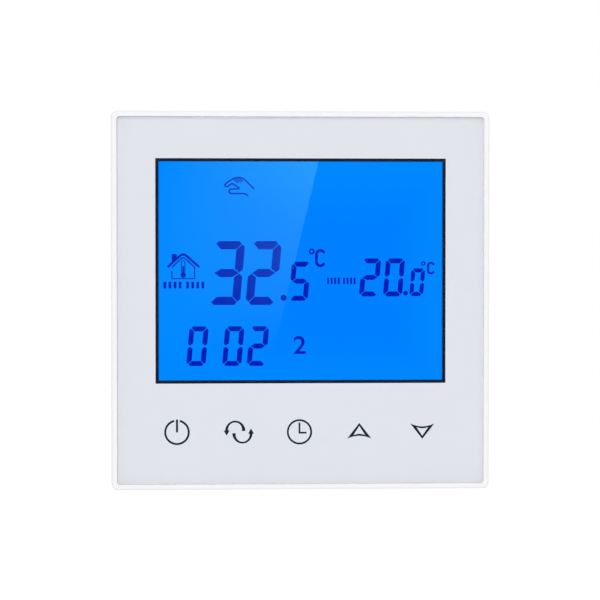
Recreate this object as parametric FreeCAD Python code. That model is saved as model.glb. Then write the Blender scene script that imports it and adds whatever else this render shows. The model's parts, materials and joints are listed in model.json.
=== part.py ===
"""A flush-mounted room thermostat with a square glass front, in millimetres.

+X is to the right, +Z is up and the front faces -Y. The plane y = 0 is the wall, the origin is midway
between the two wall-box screws. The front panel pulls off along -Y; the power box reaches into the wall.
"""
import FreeCAD, Part
import math
import os

V = FreeCAD.Vector

# ---- Front panel: overall sizes ----
FACE_SIDE = 86.0  # square outline of the casing
FACE_DEPTH = 13.5  # rim to wall
FACE_CORNER = 1.3
FACE_TAPER = 0.35  # the casing is this much narrower on each side at the rim
TAPER_DEPTH = 8.0
RIM_WIDTH = 1.55  # outline of the casing to the glass pocket
RIM_ROUND = 0.7
CASING_WALL = 2.0
WALL_GAP = 0.3  # the casing's rear edge stands this far off the wall

# ---- Glass front ----
GLASS_THICKNESS = 1.5
GLASS_RECESS = 0.15  # the glass lies this far behind the rim
GLASS_FIT = 0.2
GLASS_CORNER = 0.5
GLASS_CHAMFER = 0.15
TAPE_THICKNESS = 0.25
TAPE_WIDTH = 3.2
TAPE_INSET = 0.4
SHELF_THICKNESS = 1.3

# ---- Display ----
DISPLAY_Z = 6.7  # centre of the visible display above the middle of the glass
CELL_WIDTH = 69.6
CELL_HEIGHT = 54.6
CELL_THICKNESS = 1.8
CELL_LEDGE = 2.0  # the cell's lower glass carries its contacts below the upper glass
CELL_LAP_SIDE = 2.7  # the holder's lip covers this much of the cell's left and right edges
CELL_LAP_END = 2.6  # and this much of its upper and lower edges
HOLDER_WALL = 1.2
HOLDER_LIP = 0.4
HOLDER_GAP = 0.1  # holder to glass
PIECE_FIT = 0.15  # easy fit between moulded pieces
SHEET_GAP = 0.05
GUIDE_THICKNESS = 2.1
REFLECTOR_THICKNESS = 0.2
GUIDE_PLAY = 0.2  # light guide to what surrounds it
LED_SIZE = (1.0, 1.4, 3.0)
LED_COUNT = 3
LED_GAP = 0.1  # lamp to the light guide's edge
STRIP_THICKNESS = 1.6
STRIP_INSET = 2.0  # each end of the strip from the cell's edge

# ---- Touch marks ----
KEY_COUNT = 5
KEY_PITCH = 13.85
KEY_Z = -30.0
SPRING_MEAN_RADIUS = 2.4
SPRING_WIRE = 0.45
SPRING_TURNS = 4
SPRING_HOLE_RADIUS = 3.5
SPRING_GAP = 0.05  # at each end of a spring

# ---- Panel board and what it carries ----
BOARD_SPACE = 0.35  # reflector to board
BOARD_THICKNESS = 1.2
BOARD_MARGIN = 0.4  # board edge to casing
BOARD_NOTCH_PLAY = 0.3
CHIP_SIZE = (10.0, 1.4, 10.0)
CHIP_AT = (16.0, 16.0)
CHIP_LEGS = 8
TOUCH_CHIP_SIZE = (5.0, 1.3, 4.0)
TOUCH_CHIP_AT = (8.0, -27.0)
TOUCH_CHIP_LEGS = 4
CHIP_LEG = 0.9
CHIP_STAND = 0.1
COIN_RADIUS = 6.25
COIN_THICKNESS = 1.5
COIN_AT = (-18.0, 14.0)
CLIP_THICKNESS = 0.2
CLIP_WIDTH = 3.5
CLIP_FOOT = 1.8  # length of the clip's foot at each end
CLIP_PLAY = 0.2
SENSOR_BEAD_RADIUS = 0.7
SENSOR_LEG_RADIUS = 0.2
SENSOR_LEG_SPREAD = 0.4
SENSOR_HEIGHT = 1.0  # bead centre to the board
SENSOR_X = -12.0
SENSOR_INSET = 2.2  # from the board's lower edge

# ---- Plug and socket between the panel and the base ----
PIN_COLUMNS = 8
PIN_ROWS = 2
PIN_PITCH = 2.54
PIN_SIDE = 0.64
PIN_CLEARANCE = 0.08
PIN_ENGAGED = 4.4  # length of pin inside the socket
PLUG_THICKNESS = 2.4
PLUG_Z = -12.0
SOCKET_FLOOR = 1.0
SOCKET_CONTACT_GAP = 0.04
SOCKET_CONTACT_THICKNESS = 0.25
SOCKET_CONTACT_INSET = 0.6  # below the socket's mouth
SOCKET_SIDE_MARGIN = 0.3  # housing beyond the outermost pins' pitch squares
SOCKET_END_MARGIN = 0.4
SOCKET_PROUD = 0.2  # the socket's mouth stops this far short of the lid's front

# ---- Panel's back cover ----
COVER_THICKNESS = 1.2
COVER_AIR = 0.3  # cover to the power box's flange
PLUG_WINDOW_PLAY = 0.8
COIN_WINDOW_PLAY = 2.6  # round window in the cover over the coin cell and its clip
POST_RADIUS = 1.6  # stand-offs that press the board forward
POST_AT = (32.0, 26.0)
BOSS_RADIUS = 2.3
BOSS_PILOT_RADIUS = 0.85
PANEL_SCREW_RADIUS = 0.8
PANEL_SCREW_HEAD_RADIUS = 1.7
PANEL_SCREW_HEAD = 0.9
PANEL_SCREW_LENGTH = 4.6
PANEL_SCREW_CROSS = (2.0, 0.45, 0.5)  # length, width and depth of the cross in the head
SCREW_HOLE_PLAY = 0.15
FINGER_X = 28.0
FINGER_INSET = 5.0  # finger to the plate's edge
FINGER_WIDTH = 5.0
FINGER_THICKNESS = 1.2
FINGER_REACH = 1.6  # past the wall plane
FINGER_BEAD = 0.3
FINGER_PLAY = 0.25
HEAD_WINDOW = (12.0, 11.0, 2.0)  # width, height and corner of the opening over a wall-box screw's head
VENT_COUNT = 9
VENT_PITCH = 5.0
VENT_WIDTH = 2.0
VENT_LENGTH = 3.6

# ---- Mounting plate ----
PLATE_MARGIN = 2.0  # plate's edge to the casing's inner wall
PLATE_THICKNESS = 1.0
PLATE_CORNER = 4.0
SLOT_SPACING = 60.0  # standard wall-box screw distance
SLOT_WIDTH = 4.2
SLOT_LENGTH = 7.0

# ---- Power box ----
BOX_SIDE = 50.0
BOX_DEPTH = 27.5  # wall plane to the back of the box
BOX_CORNER = 1.5
BOX_WALL = 1.6
BOX_PLAY = 0.3  # box to the plate's window
FLANGE_THICKNESS = 1.2
FLANGE_SIDE_LAP = 0.5
FLANGE_END_LAP = 4.7
FLANGE_SCREW_X = 18.0
FLANGE_SCREW_RADIUS = 1.25
FLANGE_SCREW_HEAD_RADIUS = 2.1
FLANGE_SCREW_HEAD = 0.8
THREAD_GAP = 0.05  # stands for the thread between a screw and its hole
LID_THICKNESS = 1.2
LID_POST_RADIUS = 2.75
LID_SCREW_RADIUS = 1.25
LID_SCREW_HEAD_RADIUS = 2.1
LID_SCREW_HEAD = 1.0
LID_SCREW_BITE = 8.0
LID_SCREW_INSET = 3.2  # screw centre to the box's inner wall
POST_LOW_Z = -6.6  # height of the lower pair of posts
POWER_BOARD_Y = 8.0
POWER_BOARD_THICKNESS = 1.6
POWER_BOARD_FIT = 0.3
BOX_VENT_COUNT = 7
BOX_VENT_PITCH = 5.2
BOX_VENT_WIDTH = 1.6
BOX_VENT_LENGTH = 9.0
BOX_VENT_INSET = 2.0

# ---- Wire terminals ----
TERMINAL_COUNT = 6
TERMINAL_PITCH = 7.5
BLOCK_HEIGHT = 11.4
BLOCK_DEPTH = 14.4
BLOCK_WALL = 0.8  # between a cage and the outside of the block
BLOCK_INSET = 0.2  # block to the box's lower edge
CAGE_SIDE_WALL = 0.8  # each side of a cage, in the block's divider
CAGE_HEIGHT = 7.0
CAGE_WALL = 0.9
CAGE_PLAY = 0.15
CAGE_LIFT = 2.4  # travel of the cage
CONTACT_BAY = 3.4  # block height kept for the contact's tail and the wire mouth's funnel
MOUTH_DEPTH = 0.6  # block's lower wall in front of a cage, beyond BLOCK_WALL
MOUTH_INSET = 0.6  # each side of the wire mouth, from the cage's well
MOUTH_STEP = 0.2  # the mouth starts this far in front of the cage's inner floor
CLAMP_SCREW_ROOM = 0.4  # beside the screw, inside its cage
CLAMP_HEAD_RIM = 0.7  # head radius beyond the shank's
CLAMP_HEAD = 1.6
CLAMP_LIP = 0.8  # housing left over the screw head
CLAMP_LIP_LAP = 0.3  # how far that housing reaches over the head's edge
DRIVER_SLOT = (0.7, 0.8)  # width and depth of the cut in a clamp screw's head
HEAD_PLAY = 0.1
CONTACT_THICKNESS = 0.8
CONTACT_PLAY = 0.1
CONTACT_TAIL = 0.9
CONTACT_TAIL_WALL = 0.5  # housing between a cage's well and the tail
CONTACT_DEPTH = 0.5  # from the inside of the lowered cage's roof to the strip

# ---- Relay ----
RELAY_LENGTH = 29.0
RELAY_WIDTH = 12.7
RELAY_HEIGHT = 15.7
RELAY_WALL = 0.7
RELAY_BASE = 1.5
RELAY_LEFT = -16.5
RELAY_TOP_GAP = 1.1  # relay to the box's upper wall
COIL_RADIUS = 4.3
WINDING_RADIUS = 3.8
COIL_LENGTH = 13.0
COIL_FLANGE = 0.9
CORE_RADIUS = 1.7
CORE_PROUD = 0.4
YOKE_THICKNESS = 1.2
YOKE_WIDTH = 8.0
YOKE_PLAY = 0.3  # yoke to the cover's roof
YOKE_SIDE_PLAY = 0.4
COIL_PLAY = 0.1
ARMATURE_THICKNESS = 1.1
ARMATURE_GAP = 0.5  # armature to the pole face when the relay is off
ARMATURE_TRAVEL = 3.5  # degrees
ARMATURE_PIVOT_GAP = 0.12
ARMATURE_INSET = 0.4  # armature narrower than the yoke on each side
ARMATURE_LIFT = 3.0  # armature's free edge above the relay's base
BLADE_THICKNESS = 0.25
BLADE_WIDTH = 3.0
BLADE_LIFT = 0.5  # moving blade above the relay's base
FIXED_BLADE_THICKNESS = 0.4
FIXED_BLADE_LENGTH = 2.6
BUTTON_RADIUS = 0.9
BUTTON_HEIGHT = 0.4
BUTTON_LIFT = 1.6  # contact buttons above the relay's base
BUTTON_OPEN_GAP = 0.05  # resting contact
BUTTON_CLOSED_GAP = 0.06  # working contact when the armature is in

# ---- Other parts of the supply ----
TRANSFORMER_SIZE = (13.5, 12.0, 13.0)
TRANSFORMER_AT = (-12.5, -0.6)
TRANSFORMER_STAND = 1.5
TRANSFORMER_LIMB = 2.7
TRANSFORMER_FOOT = 2.0
COIL_FORM_PLAY = 0.1
CAPACITORS = ((4.0, 14.0, 1.6, 2.6), (3.15, 11.0, 9.2, 3.4))  # radius, height, x, z
CAPACITOR_ROUND = 0.5
FILM_CAPACITOR_SIZE = (13.0, 11.0, 5.5)
FILM_CAPACITOR_AT = (5.2, -6.4)
VARISTOR_RADIUS = 4.5
VARISTOR_THICKNESS = 3.4
VARISTOR_AT = (18.2, 8.6)
VARISTOR_LEG_SPREAD = 2.0
FUSE_RADIUS = 1.8
FUSE_LENGTH = 9.0
FUSE_AT = (14.7, -2.4)
FUSE_LEG_INSET = 1.0
LEG_RADIUS = 0.35
LEG_LENGTH = 1.2

# ---- Building aids ----
PAST = 1.0  # a cutter runs this far past what it cuts
SINK = 0.1  # pieces of one solid run this far into each other before they are fused

# ---- Planes from the rim to the wall, and into it ----
RIM_Y = -FACE_DEPTH
GLASS_FRONT_Y = RIM_Y + GLASS_RECESS
GLASS_BACK_Y = GLASS_FRONT_Y + GLASS_THICKNESS
SHELF_FRONT_Y = GLASS_BACK_Y + TAPE_THICKNESS
SHELF_BACK_Y = SHELF_FRONT_Y + SHELF_THICKNESS
HOLDER_FRONT_Y = GLASS_BACK_Y + HOLDER_GAP
CELL_FRONT_Y = HOLDER_FRONT_Y + HOLDER_LIP
CELL_BACK_Y = CELL_FRONT_Y + CELL_THICKNESS
GUIDE_FRONT_Y = CELL_BACK_Y + SHEET_GAP
GUIDE_BACK_Y = GUIDE_FRONT_Y + GUIDE_THICKNESS
REFLECTOR_BACK_Y = GUIDE_BACK_Y + REFLECTOR_THICKNESS
BOARD_FRONT_Y = REFLECTOR_BACK_Y + BOARD_SPACE
BOARD_BACK_Y = BOARD_FRONT_Y + BOARD_THICKNESS
PLATE_FRONT_Y = -PLATE_THICKNESS
FLANGE_FRONT_Y = PLATE_FRONT_Y - FLANGE_THICKNESS
COVER_BACK_Y = FLANGE_FRONT_Y - COVER_AIR
COVER_FRONT_Y = COVER_BACK_Y - COVER_THICKNESS
POWER_BOARD_BACK_Y = POWER_BOARD_Y + POWER_BOARD_THICKNESS
BOX_INNER_BACK_Y = BOX_DEPTH - BOX_WALL

# ---- Outlines worked out from the sizes above ----
POCKET_SIDE = FACE_SIDE - 2 * RIM_WIDTH
GLASS_SIDE = POCKET_SIDE - 2 * GLASS_FIT
CASING_INNER = FACE_SIDE - 2 * CASING_WALL
PLATE_SIDE = CASING_INNER - 2 * PLATE_MARGIN
FINGER_Z = PLATE_SIDE / 2 - FINGER_INSET
VIEW_WIDTH = CELL_WIDTH - 2 * CELL_LAP_SIDE
VIEW_HEIGHT = CELL_HEIGHT - 2 * CELL_LAP_END
BOX_INNER_HALF = BOX_SIDE / 2 - BOX_WALL
HOLDER_WIDTH = CELL_WIDTH + 2 * (PIECE_FIT + HOLDER_WALL)
HOLDER_HEIGHT = CELL_HEIGHT + CELL_LEDGE + 2 * (PIECE_FIT + HOLDER_WALL)
CELL_TOP_Z = DISPLAY_Z + CELL_HEIGHT / 2
CELL_BOTTOM_Z = DISPLAY_Z - CELL_HEIGHT / 2 - CELL_LEDGE
CELL_MID_Z = (CELL_TOP_Z + CELL_BOTTOM_Z) / 2
BOSS_AT = CASING_INNER / 2 - BOSS_RADIUS - SINK
BLOCK_BOTTOM_Z = -BOX_SIDE / 2 + BLOCK_INSET
BLOCK_TOP_Z = BLOCK_BOTTOM_Z + BLOCK_HEIGHT
PARTITION_Z = BLOCK_TOP_Z + PIECE_FIT
PARTITION_TOP_Z = PARTITION_Z + BOX_WALL
BLOCK_WIDTH = TERMINAL_COUNT * TERMINAL_PITCH + 2 * BLOCK_WALL
BLOCK_BACK_Y = POWER_BOARD_BACK_Y + BLOCK_DEPTH
CAGE_OUTER_WIDTH = TERMINAL_PITCH - 2 * CAGE_SIDE_WALL - 2 * CAGE_PLAY
CAGE_DEPTH = BLOCK_HEIGHT - 2 * BLOCK_WALL - CONTACT_BAY
CLAMP_SCREW_RADIUS = CAGE_OUTER_WIDTH / 2 - CAGE_WALL - CLAMP_SCREW_ROOM
CLAMP_HEAD_RADIUS = CLAMP_SCREW_RADIUS + CLAMP_HEAD_RIM
CLAMP_ACCESS_RADIUS = CLAMP_HEAD_RADIUS - CLAMP_LIP_LAP
CLAMP_HEAD_TOP_Y = BLOCK_BACK_Y - CLAMP_LIP
CLAMP_HEAD_LOW_Y = CLAMP_HEAD_TOP_Y - CLAMP_HEAD
CAGE_TOP_Y = CLAMP_HEAD_LOW_Y - CAGE_PLAY - CAGE_LIFT
CAGE_LOW_Y = CAGE_TOP_Y - CAGE_HEIGHT
CONTACT_BACK_Y = CAGE_TOP_Y - CAGE_WALL - CONTACT_DEPTH
CONTACT_FRONT_Y = CONTACT_BACK_Y - CONTACT_THICKNESS
TERMINAL_Z = BLOCK_BOTTOM_Z + BLOCK_WALL + MOUTH_DEPTH + CAGE_DEPTH / 2
RELAY_TOP_Z = BOX_INNER_HALF - RELAY_TOP_GAP
RELAY_Z = RELAY_TOP_Z - RELAY_WIDTH / 2
RELAY_BACK_Y = POWER_BOARD_BACK_Y + RELAY_HEIGHT
RELAY_FLOOR_Y = POWER_BOARD_BACK_Y + RELAY_BASE
YOKE_BACK_Y = RELAY_BACK_Y - RELAY_WALL - YOKE_PLAY
YOKE_FRONT_Y = YOKE_BACK_Y - YOKE_THICKNESS
COIL_Y = YOKE_FRONT_Y - COIL_PLAY - COIL_RADIUS
YOKE_LEFT = RELAY_LEFT + RELAY_WALL + YOKE_SIDE_PLAY
COIL_LEFT = YOKE_LEFT + YOKE_THICKNESS
POLE_X = COIL_LEFT + COIL_LENGTH + CORE_PROUD
ARMATURE_X = POLE_X + ARMATURE_GAP
SOCKET_FRONT_Y = FLANGE_FRONT_Y + SOCKET_PROUD
PIN_TIP_Y = SOCKET_FRONT_Y + PIN_ENGAGED


# ---- Shapes that many pieces share ----
def block(x, y, z):
    """Box between the two values given for each axis."""
    size = [hi - lo for lo, hi in (x, y, z)]
    return Part.makeBox(*size, V(x[0], y[0], z[0]))


def centred_block(width, y, height, at=(0.0, 0.0)):
    """Box of a width along X and a height along Z about a centre, between two values of y."""
    x, z = at
    return block((x - width / 2, x + width / 2), y, (z - height / 2, z + height / 2))


def rod(radius, y, at):
    """Cylinder along Y between two values of y, at a centre in X and Z."""
    return Part.makeCylinder(radius, y[1] - y[0], V(at[0], y[0], at[1]), V(0, 1, 0))


def cone(front_radius, back_radius, y, at):
    return Part.makeCone(front_radius, back_radius, y[1] - y[0], V(at[0], y[0], at[1]), V(0, 1, 0))


def rounded_wire(width, height, radius, y, at=(0.0, 0.0)):
    """Closed rectangle with round corners in the plane of a value of y."""
    cx, cz = at
    corners = ((1, 1), (-1, 1), (-1, -1), (1, -1))
    edges = []
    arcs = []
    for index, (sx, sz) in enumerate(corners):
        middle = V(cx + sx * (width / 2 - radius), y, cz + sz * (height / 2 - radius))
        turn = math.radians(90 * index)
        points = [turn, turn + math.pi / 4, turn + math.pi / 2]
        arcs.append([middle + V(radius * math.cos(a), 0, radius * math.sin(a)) for a in points])
    for index, arc in enumerate(arcs):
        edges.append(Part.Arc(*arc).toShape())
        edges.append(Part.makeLine(arc[2], arcs[(index + 1) % 4][0]))
    return Part.Wire(edges)


def rounded_prism(width, height, radius, y, at=(0.0, 0.0)):
    face = Part.Face(rounded_wire(width, height, radius, y[0], at))
    return face.extrude(V(0, y[1] - y[0], 0))


def slot_prism(length, width, y, at):
    """Slot along X with half-round ends."""
    radius = width / 2
    reach = length / 2 - radius
    ends = [rod(radius, y, (at[0] + side * reach, at[1])) for side in (-1, 1)]
    return centred_block(2 * reach, y, width, at).fuse(ends).removeSplitter()


def edges_at(shape, y):
    """Edges that lie wholly in the plane of a value of y."""
    found = []
    for edge in shape.Edges:
        box = edge.BoundBox
        if abs(box.YMin - y) < 1e-6 and abs(box.YMax - y) < 1e-6:
            found.append(edge)
    return found


def past(y):
    """A range of y that a cutter needs to go right through."""
    return y[0] - PAST, y[1] + PAST


def four_corners(x, z):
    return [(sx * x, sz * z) for sx in (-1, 1) for sz in (-1, 1)]


def spread(count, pitch):
    """Evenly spaced places about zero."""
    return [(index - (count - 1) / 2) * pitch for index in range(count)]


def countersunk_screw(head_radius, head, radius, y, at):
    """Flat-headed screw from its head at y[0] to its tip at y[1], with a straight driver slot."""
    screw = rod(radius, y, at).fuse(cone(head_radius, radius, (y[0], y[0] + head), at))
    slot = centred_block(2 * head_radius, (y[0] - PAST, y[0] + head / 2), head_radius / 4, at)
    return screw.cut(slot).removeSplitter()


# ---- Front panel ----
def front_glass():
    y = (GLASS_FRONT_Y, GLASS_BACK_Y)
    glass = rounded_prism(GLASS_SIDE, GLASS_SIDE, GLASS_CORNER, y)
    return glass.makeChamfer(GLASS_CHAMFER, edges_at(glass, GLASS_FRONT_Y))


def glass_tape():
    y = (GLASS_BACK_Y, SHELF_FRONT_Y)
    outer = GLASS_SIDE - 2 * TAPE_INSET
    inner = outer - 2 * TAPE_WIDTH
    return rounded_prism(outer, outer, GLASS_CORNER, y).cut(rounded_prism(inner, inner, GLASS_CORNER, y))


def casing_shell():
    """Outer form of the casing: narrower at the rim, straight towards the wall."""
    rim_side = FACE_SIDE - 2 * FACE_TAPER
    sections = [
        rounded_wire(rim_side, rim_side, FACE_CORNER, RIM_Y),
        rounded_wire(FACE_SIDE, FACE_SIDE, FACE_CORNER, RIM_Y + TAPER_DEPTH),
        rounded_wire(FACE_SIDE, FACE_SIDE, FACE_CORNER, -WALL_GAP),
    ]
    shell = Part.makeLoft(sections, True, True)
    return shell.makeFillet(RIM_ROUND, edges_at(shell, RIM_Y))


def casing_vents():
    """Slots through the casing's upper and lower walls."""
    middle_y = (BOARD_BACK_Y + COVER_FRONT_Y) / 2
    y = (middle_y - VENT_LENGTH / 2, middle_y + VENT_LENGTH / 2)
    slots = []
    for x in spread(VENT_COUNT, VENT_PITCH):
        slots.append(centred_block(VENT_WIDTH, y, FACE_SIDE + 2 * PAST, (x, 0)))
    return slots


def panel_frame():
    pocket_y = (RIM_Y - PAST, SHELF_FRONT_Y)
    frame = casing_shell()
    frame = frame.cut(rounded_prism(POCKET_SIDE, POCKET_SIDE, GLASS_CORNER + GLASS_FIT, pocket_y))
    frame = frame.cut(rounded_prism(CASING_INNER, CASING_INNER, FACE_CORNER, (SHELF_BACK_Y, PAST)))
    window_width = HOLDER_WIDTH + 2 * PIECE_FIT
    window_height = HOLDER_HEIGHT + 2 * PIECE_FIT
    through_shelf = past((SHELF_FRONT_Y, SHELF_BACK_Y))
    frame = frame.cut(centred_block(window_width, through_shelf, window_height, (0, CELL_MID_Z)))
    for x in spread(KEY_COUNT, KEY_PITCH):
        frame = frame.cut(rod(SPRING_HOLE_RADIUS, through_shelf, (x, KEY_Z)))
    for at in four_corners(BOSS_AT, BOSS_AT):
        boss = rod(BOSS_RADIUS, (SHELF_BACK_Y - SINK, COVER_FRONT_Y), at)
        frame = frame.fuse(boss)
        frame = frame.cut(rod(BOSS_PILOT_RADIUS, (SHELF_BACK_Y, COVER_FRONT_Y + PAST), at))
    return frame.cut(casing_vents()).removeSplitter()


def lcd_glass():
    """Two thin glasses; the rear one reaches lower and carries the contacts."""
    upper = centred_block(CELL_WIDTH, (CELL_FRONT_Y, CELL_BACK_Y), CELL_HEIGHT, (0, DISPLAY_Z))
    lower_y = (CELL_FRONT_Y + CELL_THICKNESS / 2, CELL_BACK_Y)
    lower = block((-CELL_WIDTH / 2, CELL_WIDTH / 2), lower_y, (CELL_BOTTOM_Z, CELL_TOP_Z))
    return upper.fuse(lower).removeSplitter()


def lcd_holder():
    at = (0, CELL_MID_Z)
    body = centred_block(HOLDER_WIDTH, (HOLDER_FRONT_Y, BOARD_FRONT_Y), HOLDER_HEIGHT, at)
    bay_width = CELL_WIDTH + 2 * PIECE_FIT
    bay_height = CELL_HEIGHT + CELL_LEDGE + 2 * PIECE_FIT
    body = body.cut(centred_block(bay_width, (CELL_FRONT_Y, BOARD_FRONT_Y + PAST), bay_height, at))
    view_y = past((HOLDER_FRONT_Y, CELL_FRONT_Y))
    return body.cut(centred_block(VIEW_WIDTH, view_y, VIEW_HEIGHT, (0, DISPLAY_Z)))


def guide_outline():
    """Width, height and centre that the light guide and its reflector share, clear of the connector strip."""
    bottom = CELL_BOTTOM_Z + STRIP_THICKNESS + 2 * GUIDE_PLAY
    left = -CELL_WIDTH / 2
    right = CELL_WIDTH / 2 - LED_SIZE[0] - LED_GAP - GUIDE_PLAY
    return right - left, CELL_TOP_Z - bottom, ((left + right) / 2, (CELL_TOP_Z + bottom) / 2)


def light_guide():
    width, height, at = guide_outline()
    return centred_block(width, (GUIDE_FRONT_Y, GUIDE_BACK_Y), height, at)


def reflector_sheet():
    width, height, at = guide_outline()
    return centred_block(width, (GUIDE_BACK_Y, REFLECTOR_BACK_Y), height, at)


def backlight_leds():
    """Lamps on the board that shine into the light guide's right edge."""
    width, height, at = guide_outline()
    left = at[0] + width / 2 + LED_GAP
    lamps = []
    for z in spread(LED_COUNT, height / LED_COUNT):
        z_range = (at[1] + z - LED_SIZE[2] / 2, at[1] + z + LED_SIZE[2] / 2)
        y = (GUIDE_BACK_Y - LED_SIZE[1], BOARD_FRONT_Y)
        lamps.append(block((left, left + LED_SIZE[0]), y, z_range))
    return Part.makeCompound(lamps)


def lcd_connector_strip():
    """Rubbery strip from the cell's contact ledge back to the board."""
    z = (CELL_BOTTOM_Z + GUIDE_PLAY, CELL_BOTTOM_Z + GUIDE_PLAY + STRIP_THICKNESS)
    half = CELL_WIDTH / 2 - STRIP_INSET
    return block((-half, half), (CELL_BACK_Y, BOARD_FRONT_Y), z)


def control_board():
    side = CASING_INNER - 2 * BOARD_MARGIN
    y = (BOARD_FRONT_Y, BOARD_BACK_Y)
    board = centred_block(side, y, side)
    notch = 2 * (side / 2 - BOSS_AT + BOSS_RADIUS + BOARD_NOTCH_PLAY)
    for at in four_corners(side / 2, side / 2):
        board = board.cut(centred_block(notch, past(y), notch, at))
    return board


def coil_path(height):
    """Rising coil about Z, each quarter turn one arc."""
    count = 4 * SPRING_TURNS
    edges = []
    for quarter in range(count):
        points = []
        for step in (quarter, quarter + 0.5, quarter + 1):
            turn = step * math.pi / 2
            x = SPRING_MEAN_RADIUS * math.cos(turn)
            points.append(V(x, SPRING_MEAN_RADIUS * math.sin(turn), height * step / count))
        edges.append(Part.Arc(*points).toShape())
    return Part.Wire(edges)


def touch_spring(x):
    """Coil from the board to the back of the glass, with its axis along Y."""
    height = BOARD_FRONT_Y - GLASS_BACK_Y - SPRING_WIRE - 2 * SPRING_GAP
    profile = Part.Wire(Part.makeCircle(SPRING_WIRE / 2, V(SPRING_MEAN_RADIUS, 0, 0), V(0, 1, 0)))
    coil = coil_path(height).makePipeShell([profile], True, True)
    coil.rotate(V(0, 0, 0), V(1, 0, 0), -90)
    coil.translate(V(x, GLASS_BACK_Y + SPRING_WIRE / 2 + SPRING_GAP, KEY_Z))
    return coil


def touch_springs():
    return Part.makeCompound([touch_spring(x) for x in spread(KEY_COUNT, KEY_PITCH)])


def chip(size, at, legs):
    """Flat chip on the back of the panel board, with a row of legs along its left and right edges."""
    width, thickness, height = size
    y = (BOARD_BACK_Y, BOARD_BACK_Y + thickness)
    body = centred_block(width, (y[0] + CHIP_STAND, y[1]), height, at)
    leg_pitch = height / (legs + 1)
    for z in spread(legs, leg_pitch):
        foot_y = (y[0], y[0] + thickness / 2)
        body = body.fuse(centred_block(width + 2 * CHIP_LEG, foot_y, leg_pitch / 2, (at[0], at[1] + z)))
    return body.removeSplitter()


def control_chip():
    return chip(CHIP_SIZE, CHIP_AT, CHIP_LEGS)


def touch_chip():
    return chip(TOUCH_CHIP_SIZE, TOUCH_CHIP_AT, TOUCH_CHIP_LEGS)


def clock_cell():
    return rod(COIN_RADIUS, (BOARD_BACK_Y, BOARD_BACK_Y + COIN_THICKNESS), COIN_AT)


def cell_clip():
    """Sprung strap over the coin cell, soldered to the board at both ends."""
    top_y = BOARD_BACK_Y + COIN_THICKNESS
    bay_width = 2 * (COIN_RADIUS + CLIP_PLAY)
    length = bay_width + 2 * CLIP_FOOT
    strap = centred_block(length, (BOARD_BACK_Y, top_y + CLIP_THICKNESS), CLIP_WIDTH, COIN_AT)
    return strap.cut(centred_block(bay_width, (BOARD_BACK_Y - PAST, top_y), CLIP_WIDTH + PAST, COIN_AT))


def air_sensor():
    """Bead on two legs behind the board, close to the lower vents."""
    z = -CASING_INNER / 2 + BOARD_MARGIN + SENSOR_INSET
    bead_y = BOARD_BACK_Y + SENSOR_HEIGHT
    sensor = Part.makeSphere(SENSOR_BEAD_RADIUS, V(SENSOR_X, bead_y, z))
    for side in (-SENSOR_LEG_SPREAD, SENSOR_LEG_SPREAD):
        sensor = sensor.fuse(rod(SENSOR_LEG_RADIUS, (BOARD_BACK_Y, bead_y), (SENSOR_X + side, z)))
    return sensor.removeSplitter()


def pin_places():
    columns = spread(PIN_COLUMNS, PIN_PITCH)
    rows = spread(PIN_ROWS, PIN_PITCH)
    return [(x, PLUG_Z + z) for x in columns for z in rows]


def header_pins():
    pins = [centred_block(PIN_SIDE, (BOARD_BACK_Y, PIN_TIP_Y), PIN_SIDE, at) for at in pin_places()]
    return Part.makeCompound(pins)


def pin_header_body():
    y = (BOARD_BACK_Y, BOARD_BACK_Y + PLUG_THICKNESS)
    body = centred_block(PIN_COLUMNS * PIN_PITCH, y, PIN_ROWS * PIN_PITCH, (0, PLUG_Z))
    return body.cut(header_pins())


def finger_places():
    return four_corners(FINGER_X, FINGER_Z)


def snap_finger(at):
    """Straight finger with a small round bead near its tip, on the side away from the middle."""
    side = 1 if at[1] > 0 else -1
    finger = centred_block(FINGER_WIDTH, (COVER_BACK_Y - SINK, FINGER_REACH), FINGER_THICKNESS, at)
    bead_z = at[1] + side * (FINGER_THICKNESS / 2 - FINGER_BEAD)
    start = V(at[0] - FINGER_WIDTH / 2, FINGER_REACH - 2 * FINGER_BEAD, bead_z)
    bead = Part.makeCylinder(2 * FINGER_BEAD, FINGER_WIDTH, start, V(1, 0, 0))
    return finger.fuse(bead).removeSplitter()


def panel_back_cover():
    side = CASING_INNER - 2 * PIECE_FIT
    y = (COVER_FRONT_Y, COVER_BACK_Y)
    cover = rounded_prism(side, side, FACE_CORNER, y)
    through = past(y)
    plug_width = PIN_COLUMNS * PIN_PITCH + 2 * PLUG_WINDOW_PLAY
    plug_height = PIN_ROWS * PIN_PITCH + 2 * PLUG_WINDOW_PLAY
    cover = cover.cut(centred_block(plug_width, through, plug_height, (0, PLUG_Z)))
    cover = cover.cut(rod(COIN_RADIUS + COIN_WINDOW_PLAY, through, COIN_AT))
    for side_x in (-1, 1):
        at = (side_x * SLOT_SPACING / 2, 0)
        cover = cover.cut(rounded_prism(*HEAD_WINDOW, through, at))
    for at in four_corners(BOSS_AT, BOSS_AT):
        cover = cover.cut(rod(PANEL_SCREW_RADIUS + SCREW_HOLE_PLAY, through, at))
    for at in four_corners(*POST_AT):
        cover = cover.fuse(rod(POST_RADIUS, (BOARD_BACK_Y, y[0] + SINK), at))
    for at in finger_places():
        cover = cover.fuse(snap_finger(at))
    return cover.removeSplitter()


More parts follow.
